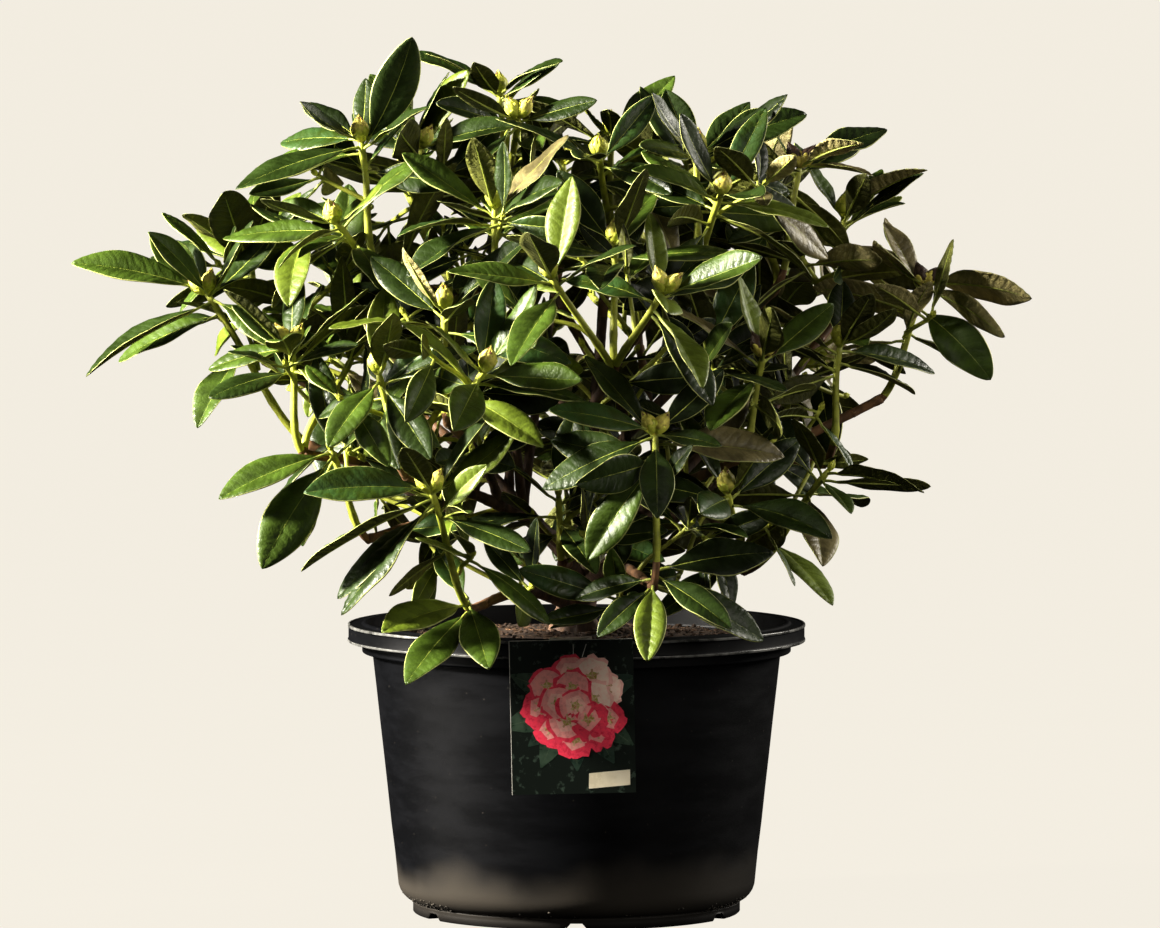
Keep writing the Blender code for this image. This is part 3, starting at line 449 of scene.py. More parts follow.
def skin(rings):
    """Points and faces of a closed loft through rings of like size. A ring of one point is a tip."""
    points = [place for ring_points in rings for place in ring_points]
    faces = []
    start = 0
    sides = max(len(ring_points) for ring_points in rings)
    if len(rings[0]) > 1:
        faces.append(tuple(reversed(range(sides))))
    for near, far in zip(rings, rings[1:]):
        after = start + len(near)
        for i in range(sides):
            j = (i + 1) % sides
            if len(far) == 1:
                faces.append((start + i, start + j, after))
            elif len(near) == 1:
                faces.append((start, after + j, after + i))
            else:
                faces.append((start + i, start + j, after + j))
                faces.append((start + i, after + j, after + i))
        start = after
    if len(rings[-1]) > 1:
        faces.append(tuple(start + i for i in range(sides)))
    return points, faces


def twig_skin(start, end, radii, sides, extra=0.0):
    axis = (end - start).normalized()
    return skin([
        ring(start - axis * extra, radii[0] + extra, axis, sides),
        ring(end + axis * extra, radii[1] + extra, axis, sides),
    ])


def bud_skin(bud, extra):
    base, axis, radius = bud
    widest = ring(base + axis * BUD_LENGTH * BUD_WIDEST, radius + extra, axis, BUD_SIDES)
    return skin([[base - axis * 0.002], widest, [base + axis * (BUD_LENGTH + extra)]])


def leaf_point(leaf, share):
    """The midrib's place, direction and upper face at a share of the leaf's length."""
    bend = leaf.droop * share
    heading = leaf.direction * cos(bend) - leaf.face * sin(bend)
    face = leaf.face * cos(bend) + leaf.direction * sin(bend)
    scale = leaf.length / leaf.droop
    place = leaf.base + (leaf.direction * sin(bend) - leaf.face * (1 - cos(bend))) * scale
    return place, heading, face


def leaf_section(leaf, share, half_width, keel, extra):
    place, heading, face = leaf_point(leaf, share)
    side = face.cross(heading)
    lift = face * (0.12 * half_width)
    edges = [place + side * way * (half_width + extra) + lift for way in (1, -1)]
    return [*edges, place - face * (keel + extra)]


def leaf_skin(leaf, whole=True, extra=0.0):
    """A leaf as a thin closed loft: a stalk, with or without its foot, two broad sections and a tip."""
    keel = leaf.length * LEAF_THICKNESS
    tip, heading, _ = leaf_point(leaf, 1.0)
    rings = [
        leaf_section(leaf, STALK_SHARE, STALK_RADIUS, STALK_RADIUS, extra),
        leaf_section(leaf, 0.40, leaf.width * 0.45, keel, extra),
        leaf_section(leaf, 0.74, leaf.width * 0.43, keel * 0.8, extra),
        [tip + heading * extra],
    ]
    if whole:
        rings.insert(0, [leaf.base - leaf.direction * SHOOT_RADII[1] * 0.4])
    return skin(rings)


def ball(solid):
    """The middle and the reach of a solid's points."""
    centre = sum(solid[0], Vector()) / len(solid[0])
    return centre, max((p - centre).length for p in solid[0])


class Grown:
    """Everything grown so far. The growing rule asks it whether a new piece would touch anything."""

    def __init__(self):
        self.items = []

    def add(self, solid, owner):
        self.items.append((*ball(solid), BVHTree.FromPolygons(*solid), owner))

    def touches(self, solid, skip=None):
        centre, radius = ball(solid)
        tree = None
        for other_centre, other_radius, other_tree, owner in self.items:
            if owner == skip or (centre - other_centre).length > radius + other_radius:
                continue
            tree = tree or BVHTree.FromPolygons(*solid)
            if tree.overlap(other_tree):
                return True
        return False


def planted(limbs):
    """The pot, the tag and the limbs, which no shoot or leaf may touch."""
    grown = Grown()
    low = Vector((0.0, 0.0, 0.02))
    high = Vector((0.0, 0.0, RIM_TOP + LIP_RISE + 0.001))
    grown.add(twig_skin(low, high, (RIM_RADIUS + 0.002, RIM_RADIUS + 0.002), POT_SIDES), "pot")
    front = Vector((TAG_CENTRE_X, -RIM_RADIUS - 0.0015, RIM_TOP + 0.003))
    reach = TAG_WIDTH * 0.5 + 0.004
    corners = ((-reach, 0.003), (reach, 0.003), (reach, -0.003), (-reach, -0.003))
    near = [front + Vector((x, y, 0.0)) for x, y in corners]
    grown.add(skin([[p - UP * (TAG_HEIGHT + 0.006) for p in near], near]), "tag")
    for name, (points, radii) in limbs.items():
        for i in range(len(points) - 1):
            solid = twig_skin(points[i], points[i + 1], radii[i : i + 2], 6, 0.0009)
            grown.add(solid, "bough_" + name)
    return grown


def in_crown(place, margin=Vector()):
    """Whether a place lies inside the crown, which narrows towards the pot's rim."""
    off = place - CROWN_CENTRE
    total = sum(abs(part / radius) ** CROWN_POWER for part, radius in zip(off, CROWN_RADII + margin))
    reach = hypot(place.x, place.y)
    return total < 1.0 and reach < CROWN_FOOT + margin.x + CROWN_FLARE * (place.z - RIM_TOP)


def buds_at(tip, axis, count):
    """One upright flower bud, or two that lean apart."""
    if count < 2:
        return [(tip, axis, BUD_RADIUS)] * count
    across = axis.cross(FRONT).normalized()
    leans = [(axis * cos(TWIN_BUD_TILT) + across * way * sin(TWIN_BUD_TILT)).normalized() for way in (-1, 1)]
    return [(tip - axis * 0.001, lean, TWIN_BUD_RADIUS) for lean in leans]


def add_shoot(mass, tip, bud_count, grown, name):
    way = (tip - mass.node).normalized()
    axis = (way + UP * 0.35).normalized()
    buds = buds_at(tip, (axis + UP * 0.5).normalized(), bud_count)
    mass.shoots.append(Shoot(mass.node, tip, axis, buds))
    grown.add(twig_skin(mass.node + way * 0.006, tip, SHOOT_RADII, 6, 0.0006), name)
    for bud in buds:
        grown.add(bud_skin(bud, 0.0008), name)


def grow_shoots(limbs, grown):
    """The stem and the shoots of every mass. The leader goes to its own place, the rest fill the crown."""
    masses = {}
    for name, row in BOUGHS.items():
        points = limbs[name][0]
        heading = (points[-1] - points[-2]).normalized()
        foot = points[-1] + heading * SEAT_GAP
        mass = masses[name] = Mass(foot, foot + heading * STEM_LENGTH, heading, [])
        grown.add(twig_skin(foot, mass.node, (STEM_RADIUS, STEM_RADIUS), 6, 0.0006), name)
        add_shoot(mass, hub_of(row), row.buds, grown, name)
    tips = [mass.shoots[0].tip for mass in masses.values()]
    for name, row in BOUGHS.items():
        mass = masses[name]
        rng = random.Random(f"{SEED} shoots {name}")
        leader = (mass.shoots[0].tip - mass.node).normalized()
        for _ in range(row.shoots - 1):
            best = None
            for _ in range(SHOOT_TRIES):
                way = tilted(leader, rng.uniform(*SHOOT_SPREAD), rng.uniform(0, tau))
                way = (way + UP * 0.15).normalized()
                tip = mass.node + way * row.leader * rng.uniform(0.72, 1.0)
                if tip.z < CROWN_FLOOR or not in_crown(tip):
                    continue
                if grown.touches(twig_skin(mass.node + way * 0.012, tip, SHOOT_RADII, 6, 0.001)):
                    continue
                room = min((tip - other).length for other in tips)
                if best is None or room > best[0]:
                    best = (room, tip)
            if best:
                bud_count = rng.choices((0, 1, 2), weights=(2, 5, 2))[0]
                add_shoot(mass, best[1], bud_count, grown, name)
                tips.append(best[1])
    return masses


def curved_leaf(base, chord, light, length, slenderness, droop):
    """A leaf whose ends lie a length apart along a direction, with its upper face turned to the light."""
    face = (light - chord * light.dot(chord)).normalized()
    half = droop / 2 if abs(droop) > LEAST_DROOP else LEAST_DROOP / 2
    direction = chord * cos(half) + face * sin(half)
    upper = face * cos(half) - chord * sin(half)
    return Leaf(base, direction, upper, length * half / sin(half), length * slenderness, 2 * half)


def outward_from_axis(place):
    flat = Vector((place.x, place.y, 0.0))
    return flat.normalized() if flat.length > 0.01 else FRONT


def open_light(base):
    """The direction that a leaf of the outline turns its upper face to."""
    return UP * 0.8 + FRONT * 0.5 + outward_from_axis(base) * 0.3


def placed_leaf(shoot, row, rng, loose):
    """A leaf of the table of placed leaves."""
    share, turn, rise, length = row
    base = shoot.start.lerp(shoot.tip, share / 100)
    turn = radians(turn) + rng.uniform(-loose, loose)
    droop = PLACED_CUP if rise > CUP_RISE else PLACED_DROOP
    rise = radians(rise) + rng.uniform(-loose, loose)
    chord = Vector((cos(turn) * cos(rise), sin(turn) * cos(rise), sin(rise)))
    return curved_leaf(base, chord, open_light(base), length / 1000, PLACED_SLENDERNESS, droop)


def whorl_leaf(axis, base, spin, lean, share, rng, loose, shrink, twist=LEAF_TWIST):
    """A leaf of a whorl, which leans from its shoot by an angle."""
    chord = tilted(axis, lean + rng.uniform(-loose, loose), spin + rng.uniform(-loose, loose))
    light = UP * 0.5 + outward_from_axis(base) * 0.4 + axis * 0.4
    light = Matrix.Rotation(rng.uniform(-twist, twist), 3, chord) @ light
    length = mixed(LEAF_LENGTH, min(1.0, share * 0.7 + rng.uniform(0, 0.4))) * shrink
    droop = mixed(LEAF_DROOP, min(1.0, share * 0.6 + rng.uniform(0, 0.4)))
    return curved_leaf(base, chord, light, length, rng.uniform(*LEAF_SLENDERNESS), droop)


def aimed_leaf(shoots, tip, rng, attempt):
    """A leaf that reaches for a tip from the best place on a mass's shoots, or from one of the next."""
    places = [shoot.start.lerp(shoot.tip, share) for shoot in shoots for share in AIM_SHARES]
    places.sort(key=lambda place: abs((tip - place).length - USUAL_LENGTH))
    base = places[attempt % len(places)]
    loose = AIM_LOOSENESS * (attempt // len(places))
    chord = tip - base
    length = min(max(chord.length, AIMED_LENGTH[0]), AIMED_LENGTH[1])
    chord = (chord + Vector([rng.uniform(-loose, loose) for _ in range(3)]) * length).normalized()
    return curved_leaf(base, chord, open_light(base), length, PLACED_SLENDERNESS, PLACED_DROOP)


def own_space(name, tip, masses):
    """Whether a leaf's tip lies in the space of its own mass, and not deep in another's."""
    far = {other: min((tip - shoot.tip).length for shoot in mass.shoots) for other, mass in masses.items()}
    return min(far.values()) >= far[name] - SPACE_OVERLAP


def in_box(leaf):
    """Whether a leaf stays inside the box of the solids."""
    low, high = SOLIDS_BOX
    for place in leaf_skin(leaf)[0]:
        if any(place[i] < low[i] + BOX_MARGIN or place[i] > high[i] - BOX_MARGIN for i in range(3)):
            return False
    return True


def in_sky(places):
    """Whether any of some places hides a gap where the photo shows sky."""
    for place in places:
        seen = EYE + (place - EYE) * (EYE.y / (EYE.y - place.y))
        if any((seen.x - x) ** 2 + (seen.z - z) ** 2 < reach**2 for x, z, reach in SKY_GAPS):
            return True
    return False


def in_view(leaf):
    """Whether a leaf stays in the box and shows no edge in a gap with sky."""
    edges = [place for share in SEEN_SHARES for place in leaf_section(leaf, share, leaf.width * 0.36, 0, 0)]
    return not in_sky(edges) and in_box(leaf)


class Shrub:
    """The plant as far as it has grown. Its masses, leaves and twigs go by the boughs' names."""

    def __init__(self):
        self.limbs = limb_axes()
        self.grown = planted(self.limbs)
        self.masses = grow_shoots(self.limbs, self.grown)
        self.leaves = {name: [] for name in self.masses}
        self.twigs = {name: [] for name in self.masses}

    def add_leaf(self, name, tries, placed=False, suits=bool):
        """Adds the first of some tries that stays in its own space and touches nothing but its own shoot."""
        for leaf in tries:
            tip = leaf_point(leaf, 1.0)[0]
            if not (placed or own_space(name, tip, self.masses) and in_crown(tip, LEAF_MARGIN)):
                continue
            if not suits(leaf) or self.grown.touches(leaf_skin(leaf, False, LEAF_CLEARANCE)):
                continue
            if self.grown.touches(leaf_skin(leaf, True, LEAF_CLEARANCE), name):
                continue
            self.grown.add(leaf_skin(leaf), name)
            self.leaves[name].append(leaf)
            return True
        return False

    def grow_leaves(self):
        """The solids' own leaves: the placed ones, a whorl below each bud, and older leaves round each stem.

        The whorls fill up together, leaf by leaf.
        """
        dice = {name: random.Random(f"{SEED} leaves {name}") for name in self.masses}
        wanted = {}
        for name, mass in self.masses.items():
            wanted[name] = [WHORL_LEAVES] + [SIDE_WHORL_LEAVES] * (len(mass.shoots) - 1)

        def tries(rng, *place):
            return (whorl_leaf(*place, rng, 0.1 + 0.05 * k, 1 - 0.03 * k) for k in range(LEAF_TRIES))

        for name, rows in PLACED_LEAVES.items():
            leader = self.masses[name].shoots[0]
            for row in rows:
                loose = (placed_leaf(leader, row, dice[name], 0.05 * k) for k in range(LEAF_TRIES))
                if self.add_leaf(name, loose, True) and row[0] / 100 > TIP_SHARE:
                    wanted[name][0] = max(LEAST_RANDOM_LEAVES, wanted[name][0] - 1)
        spins = {
            name: [dice[name].uniform(0, tau) for _ in mass.shoots] for name, mass in self.masses.items()
        }
        for i in range(WHORL_LEAVES):
            share = i / (WHORL_LEAVES - 1)
            for name, mass in self.masses.items():
                for shoot, first_spin, count in zip(mass.shoots, spins[name], wanted[name]):
                    if i < count:
                        way = (shoot.tip - shoot.start).normalized()
                        base = shoot.tip - way * (0.003 + LEAF_PITCH * i)
                        spin = first_spin + GOLDEN_TURN * i
                        lean = mixed(LEAF_LEAN, share)
                        self.add_leaf(name, tries(dice[name], shoot.axis, base, spin, lean, share))
        for i in range(OLD_LEAVES):
            for name, mass in self.masses.items():
                base = mass.foot + mass.heading * (0.005 + 0.0042 * i)
                spin = GOLDEN_TURN * i + spins[name][0]
                lean = mixed(OLD_LEAF_LEAN, dice[name].random())
                self.add_leaf(name, tries(dice[name], mass.heading, base, spin, lean, 0.8))

    def clear_sky(self):
        """Takes away the leaves of the rule that hide a gap with sky."""
        for name, leaves in self.leaves.items():
            placed = len(PLACED_LEAVES.get(name, ()))
            ribs = [(leaf, [leaf_point(leaf, share)[0] for share in RIB_PLACES]) for leaf in leaves[placed:]]
            self.leaves[name] = leaves[:placed] + [leaf for leaf, rib in ribs if not in_sky(rib)]

    def grow_aimed_leaves(self):
        rng = random.Random(f"{SEED} aimed")
        for name, *tip in AIMED_TIPS:
            tip = Vector([part / 1000 for part in tip])
            shoots = self.masses[name].shoots
            self.add_leaf(name, (aimed_leaf(shoots, tip, rng, k) for k in range(AIM_TRIES)), True, in_box)

    def grow_twig(self, name, line, rule, rng):
        """A side twig from some place of a line, where it touches nothing."""
        for _ in range(TWIG_TRIES):
            start, way = along(line, rng.uniform(*rule.shares))
            heading = tilted(way, rng.uniform(*rule.spread), rng.uniform(0, tau))
            heading = (heading + UP * rule.rise).normalized()
            tip = start + heading * rng.uniform(*TWIG_LENGTH)
            solid = twig_skin(start + heading * rule.foot, tip, TWIG_RADII, 5, 0.001)
            if tip.z < rule.floor or not in_crown(tip) or in_sky([tip]) or self.grown.touches(solid):
                continue
            self.twigs[name].append(Shoot(start, tip, (heading + UP * rule.lift).normalized(), []))
            self.grown.add(solid, name)
            return

    def grow_twigs(self, per_shoot, per_bough):
        """Side twigs from the shoots, and short ones from the boughs, which fill the crown's inside."""
        for name, mass in self.masses.items():
            rng = random.Random(f"{SEED} twigs {name}")
            for shoot in mass.shoots:
                for _ in range(per_shoot):
                    self.grow_twig(name, shoot[:2], SIDE_TWIGS, rng)
        for name in self.masses:
            rng = random.Random(f"{SEED} inner {name}")
            for _ in range(per_bough):
                self.grow_twig(name, self.limbs[name][0], INNER_TWIGS, rng)

    def grow_finer_leaves(self, tip_extra, old_extra, twig_leaves):
        """More leaves than the solids carry: on the twigs, below the whorls, and along the shoots."""
        dice = {name: random.Random(f"{SEED} finer {name}") for name in self.masses}

        def whorls(shoots, place, step, lean, share, size):
            for name in self.masses:
                rng = dice[name]
                for shoot in shoots(name):
                    turn = lean(rng)
                    way = (shoot.tip - shoot.start).normalized()
                    base = shoot.start.lerp(shoot.tip, place) - way * LEAF_PITCH * step
                    stand = (shoot.axis, base, rng.uniform(0, tau), turn, share, rng)
                    tries = (
                        whorl_leaf(*stand, 0.2 + 0.07 * k, (1 - 0.04 * k) * size, FINE_TWIST)
                        for k in range(LEAF_TRIES)
                    )
                    self.add_leaf(name, tries, suits=in_view)

        def shoots_of(name):
            return self.masses[name].shoots

        for i in range(twig_leaves):
            share = i / max(1, twig_leaves - 1)
            whorls(self.twigs.get, 0.97, 0.7 * i, lambda _: mixed(LEAF_LEAN, share), share, 0.80)
        for i in range(tip_extra):
            whorls(shoots_of, 0.96, WHORL_LEAVES + i, lambda _: mixed(LEAF_LEAN, 0.8 + 0.1 * i), 0.8, 0.95)
        for i in range(old_extra):
            whorls(shoots_of, 0.58, 1.4 * i, lambda rng: mixed(OLD_LEAF_LEAN, rng.random()), 0.7, 0.92)


@lru_cache
def grown_plant(side_twigs, inner_twigs, tip_leaves, old_leaves, twig_leaves):
    """The whole plant, with the finer growth."""
    shrub = Shrub()
    shrub.grow_leaves()
    shrub.clear_sky()
    shrub.grow_aimed_leaves()
    shrub.grow_twigs(side_twigs, inner_twigs)
    shrub.grow_finer_leaves(tip_leaves, old_leaves, twig_leaves)
    return shrub


class Sheaf:
    """Like pieces gathered into one mesh, with a material slot for each face."""

    def __init__(self):
        self.points = []
        self.faces = []
        self.slots = []
        self.places = []
        self.size = 0

    def add(self, points, faces, slots=0, places=None):
        """Points, faces as tuples of their numbers, and one slot for all of the faces or one for each.

        The places are coordinates on the piece's own surface, two for each point.
        """
        self.points.append(np.array([tuple(p) for p in points], float).reshape(-1, 3))
        self.faces.extend(tuple(i + self.size for i in face) for face in faces)
        self.slots.extend([slots] * len(faces) if isinstance(slots, int) else slots)
        self.size += len(points)
        if places is not None:
            self.places.append(places)

    def settle(self, name, materials, slot, nodes, smooth=True):
        """Makes the piece and hands it to the frame."""
        piece = self.build(name, materials, smooth)
        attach(piece, "root")
        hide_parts(*nodes)

    def build(self, name, materials, smooth=True):
        mesh = bpy.data.meshes.new(name)
        mesh.from_pydata(np.concatenate(self.points).tolist(), [], self.faces)
        for material in materials:
            mesh.materials.append(material)
        mesh.polygons.foreach_set("material_index", self.slots)
        mesh.polygons.foreach_set("use_smooth", [smooth] * len(mesh.polygons))
        mesh.update()
        if self.places:
            corners = np.zeros(len(mesh.loops), int)
            mesh.loops.foreach_get("vertex_index", corners)
            layer = mesh.uv_layers.new(name="blade")
            layer.data.foreach_set("uv", np.concatenate(self.places)[corners].ravel())
        thing = bpy.data.objects.new(name, mesh)
        bpy.context.scene.collection.objects.link(thing)
        return thing


def belt(count, near, far):
    """The faces between two rings of points, from the number of each ring's first point."""
    return [(near + i, near + (i + 1) % count, far + (i + 1) % count, far + i) for i in range(count)]


def lathe(profile, steps, shift=None):
    """A closed solid of revolution, whose profile runs from axis to axis. shift may move a point."""
    points = []
    for radius, height in profile[1:-1]:
        for i in range(steps):
            turn = tau * i / steps
            r, z = shift(radius, height, turn) if shift else (radius, height)
            points.append((r * cos(turn), r * sin(turn), z))
    first = len(points)
    points.append((0.0, 0.0, profile[0][1]))
    points.append((0.0, 0.0, profile[-1][1]))
    faces = []
    last = first - steps
    for i in range(steps):
        j = (i + 1) % steps
        faces.append((first, i, j))
        faces.append((first + 1, last + j, last + i))
        for k in range(0, last, steps):
            faces.append((k + i, k + steps + i, k + steps + j, k + j))
    return points, faces


def eased(corners, count=4):
    """A profile with its inner corners rounded, from each corner's place and radius."""
    out = [corners[0][0]]
    for (before, _), (corner, radius), (after, _) in zip(corners, corners[1:], corners[2:]):
        here = Vector(corner)
        start = here + (Vector(before) - here).normalized() * radius
        end = here + (Vector(after) - here).normalized() * radius
        out += [tuple(bezier(start, here, end, i / (count - 1))) for i in range(count)]
    return out


# Materials


class Wiring:
    """A shader node tree, written node by node. An input is a value, or the output that feeds it."""

    def __init__(self, tree):
        self.tree = tree

    def fill(self, node, inputs):
        for key, value in inputs.items():
            if isinstance(value, bpy.types.NodeSocket):
                self.tree.links.new(value, node.inputs[key])
            else:
                node.inputs[key].default_value = value

    def node(self, kind, inputs, **settings):
        """The outputs of a new node."""
        made = self.tree.nodes.new("ShaderNode" + kind)
        for key, value in settings.items():
            setattr(made, key, value)
        self.fill(made, inputs)
        return made.outputs

    def first(self, kind, inputs, **settings):
        """The first output that a new node has in use."""
        return [out for out in self.node(kind, inputs, **settings) if out.enabled][0]

    def sum(self, operation, *values):
        """A node that calculates with its values."""
        return self.first("Math", dict(enumerate(values)), operation=operation)

    def step(self, value, low=0.0, high=1.0, first=0.0, last=1.0, kind="SMOOTHSTEP"):
        """A value, taken from one range to another."""
        limits = {"Value": value, "From Min": low, "From Max": high, "To Min": first, "To Max": last}
        return self.first("MapRange", limits, interpolation_type=kind)

    def grain(self, given, **looks):
        """Noise on the object, at the scale and the stretch that are given."""
        place = {0: self.node("TexCoord", {})["Object"], 1: given["Stretch"]}
        looks["Vector"] = self.first("VectorMath", place, operation="MULTIPLY")
        return self.first("TexNoise", {"Scale": given["Scale"], **looks})


def new_group(name, **inputs):
    """A shader node group's wiring and its inputs, each with its default."""
    group = bpy.data.node_groups.new(name, "ShaderNodeTree")
    for label, value in inputs.items():
        kind = "Float" if isinstance(value, float) else "Color" if len(value) == 4 else "Vector"
        socket = group.interface.new_socket(label, in_out="INPUT", socket_type="NodeSocket" + kind)
        socket.default_value = value
    return Wiring(group), group.nodes.new("NodeGroupInput").outputs


def closed_group(wiring, **outputs):
    """The finished node group, with its outputs."""
    kinds = {"VALUE": "NodeSocketFloat", "RGBA": "NodeSocketColor", "VECTOR": "NodeSocketVector"}
    for label, socket in outputs.items():
        wiring.tree.interface.new_socket(label, in_out="OUTPUT", socket_type=kinds[socket.type])
    wiring.fill(wiring.tree.nodes.new("NodeGroupOutput"), outputs)
    return wiring.tree


@lru_cache
def mottle_group():
    """Two colours mixed by soft noise, with a roughness that follows it."""
    wiring, given = new_group(
        "mottle", Dark=(0.1, 0.1, 0.1, 1), Light=(0.3, 0.3, 0.3, 1), Scale=60.0, Stretch=(1.0, 1.0, 1.0),
        Low=0.35, High=0.65, Smooth=0.3, Rough=0.5,
    )
    spread = wiring.step(wiring.grain(given, Detail=5.0, Roughness=0.6), given["Low"], given["High"])
    blend = {"Factor": spread, "A": given["Dark"], "B": given["Light"]}
    rough = wiring.step(spread, first=given["Smooth"], last=given["Rough"], kind="LINEAR")
    tint = wiring.first("Mix", blend, data_type="RGBA")
    return closed_group(wiring, Colour=tint, Roughness=rough, Mask=spread)


@lru_cache
def grain_group():
    """A fine bumpy surface, as a normal."""
    wiring, given = new_group("grain", Scale=400.0, Stretch=(1.0, 1.0, 1.0), Strength=0.3, Height=0.0005)
    bump = {"Strength": given["Strength"], "Distance": given["Height"]}
    bump["Height"] = wiring.grain(given, Detail=4.0)
    return closed_group(wiring, Normal=wiring.first("Bump", bump))


@lru_cache
def vein_group():
    """Side veins that run out from the midrib towards the tip, and a fine net between them.

    It reads the leaf's own coordinates in metres, across and along. Its mask falls to nothing on the veins
    and on the net, and sets where painted shade goes in these grooves.
    """
    wiring, given = new_group(
        "veins", Spacing=0.0088, Slope=0.75, Net=300.0, Strength=0.6, Normal=(0.0, 0.0, 0.0),
    )
    blade = wiring.first("UVMap", {}, uv_map="blade")
    parts = wiring.node("SeparateXYZ", {0: blade})
    waver = wiring.first("TexNoise", {"Vector": blade, "Scale": 90.0})
    bent = wiring.sum("MULTIPLY_ADD", waver, 0.011, parts["Y"])
    slant = wiring.sum("MULTIPLY", wiring.sum("ABSOLUTE", parts["X"]), given["Slope"])
    order = wiring.sum("DIVIDE", wiring.sum("SUBTRACT", bent, slant), given["Spacing"])
    fold = wiring.sum("PINGPONG", order, 0.5)
    swell = wiring.step(fold, high=0.42, kind="SMOOTHERSTEP")
    cells = wiring.first(
        "TexVoronoi", {"Vector": blade, "Scale": given["Net"]}, feature="DISTANCE_TO_EDGE",
        voronoi_dimensions="2D",
    )
    mesh = wiring.step(cells, high=0.25, last=0.34)
    mask = wiring.sum("MULTIPLY_ADD", wiring.step(fold, high=0.16), 0.66, mesh)
    bump = {"Distance": 0.0016, "Strength": given["Strength"], "Normal": given["Normal"]}
    bump["Height"] = wiring.sum("ADD", swell, mesh)
    return closed_group(wiring, Mask=mask, Normal=wiring.first("Bump", bump))


@lru_cache
def dust_group():
    """A film of dried mud in soft clouds, with specks, thickest just above a clean foot and on one side."""
    wiring, given = new_group(
        "dust", Foot=0.0, Top=0.07, Side=(-0.7, -0.7, 0.0), Clean=0.0, Amount=0.8, Specks=0.5,
    )
    place = wiring.node("TexCoord", {})["Object"]
    up = wiring.node("SeparateXYZ", {0: place})["Z"]
    cloud = wiring.first("TexNoise", {"Vector": place, "Scale": 8.0, "Detail": 3.0})
    warp = wiring.sum("MULTIPLY_ADD", cloud, -0.075, up)
    height = wiring.step(warp, given["Foot"], given["Top"], 1.0, 0.0)
    across = wiring.first("VectorMath", {0: place, 1: given["Side"]}, operation="DOT_PRODUCT")
    film = wiring.sum("MULTIPLY", height, wiring.step(across, -0.10, 0.13, 0.25))
    above = wiring.sum("MULTIPLY", film, wiring.step(up, -0.004, given["Clean"], 0.12))
    speck = wiring.first("TexVoronoi", {"Vector": place, "Scale": 95.0})
    dots = wiring.sum("MULTIPLY", wiring.step(speck, 0.045, 0.075, 1.0, 0.0, "LINEAR"), given["Specks"])
    whole = wiring.sum("MULTIPLY", above, given["Amount"])
    return closed_group(wiring, Mask=wiring.sum("MAXIMUM", whole, dots))


def finish(name, dark, light, rough, scale=60.0, stretch=(1, 1, 1), grain=(400.0, 0.3), coat=0.0, gloss=0.5,
           low=0.35, high=0.65):
    """A material with mottled colour, uneven roughness and a fine grain."""
    material = bpy.data.materials.new(name)
    material.use_nodes = True
    wiring = Wiring(material.node_tree)
    tints = {"Dark": (*dark, 1.0), "Light": (*light, 1.0), "Smooth": rough[0], "Rough": rough[1]}
    spread = {"Scale": scale, "Stretch": stretch, "Low": low, "High": high}
    mottle = wiring.node("Group", {**tints, **spread}, node_tree=mottle_group())
    bumps = {"Scale": grain[0], "Strength": grain[1], "Stretch": stretch}
    wiring.fill(wiring.tree.nodes["Principled BSDF"], {
        "Base Color": mottle["Colour"],
        "Roughness": mottle["Roughness"],
        "Normal": wiring.first("Group", bumps, node_tree=grain_group()),
        "Specular IOR Level": gloss,
        "Coat Weight": coat,
        "Coat Roughness": COAT_ROUGHNESS,
    })
    return material


def toned(name, tint, dark, light, *looks, **more):
    """A finish in one tint, between two shares of it."""
    return finish(name, scaled(tint, dark), scaled(tint, light), *looks, **more)


def scaled(shade, factor):
    return tuple(min(1.0, part * factor) for part in shade)


def between(one, other, share=0.5):
    """A colour at a share of the way from one to another."""
    return tuple((1 - share) * a + share * b for a, b in zip(one, other))


def surface(material):
    """The wiring of a finished material, its shader, and what feeds the shader."""
    wiring = Wiring(material.node_tree)
    shader = wiring.tree.nodes["Principled BSDF"]
    under = {key: shader.inputs[key].links[0].from_socket for key in ("Base Color", "Roughness", "Normal")}
    return wiring, shader, under


def veined(material, strength, shade):
    """Lays the veins over a finished material, with painted shade that darkens the colour along the sunken
    veins and the net.
    """
    wiring, shader, under = surface(material)
    net = wiring.node("Group", {"Strength": strength, "Normal": under["Normal"]}, node_tree=vein_group())
    painted_groove_shade = wiring.step(net["Mask"], first=shade, kind="LINEAR")
    blend = {"Factor": 1.0, "A": under["Base Color"], "B": painted_groove_shade}
    tint = wiring.first("Mix", blend, data_type="RGBA", blend_type="MULTIPLY")
    wiring.fill(shader, {"Base Color": tint, "Normal": net["Normal"]})


def dusted(material, colour, rough, **limits):
    """Lays the dust film over a finished material."""
    wiring, shader, under = surface(material)
    film = wiring.first("Group", limits, node_tree=dust_group())
    for key, kind, value in (("Base Color", "RGBA", (*colour, 1.0)), ("Roughness", "FLOAT", rough)):
        blend = {"Factor": film, "A": under[key], "B": value}
        wiring.fill(shader, {key: wiring.first("Mix", blend, data_type=kind)})


# The pot and the soil


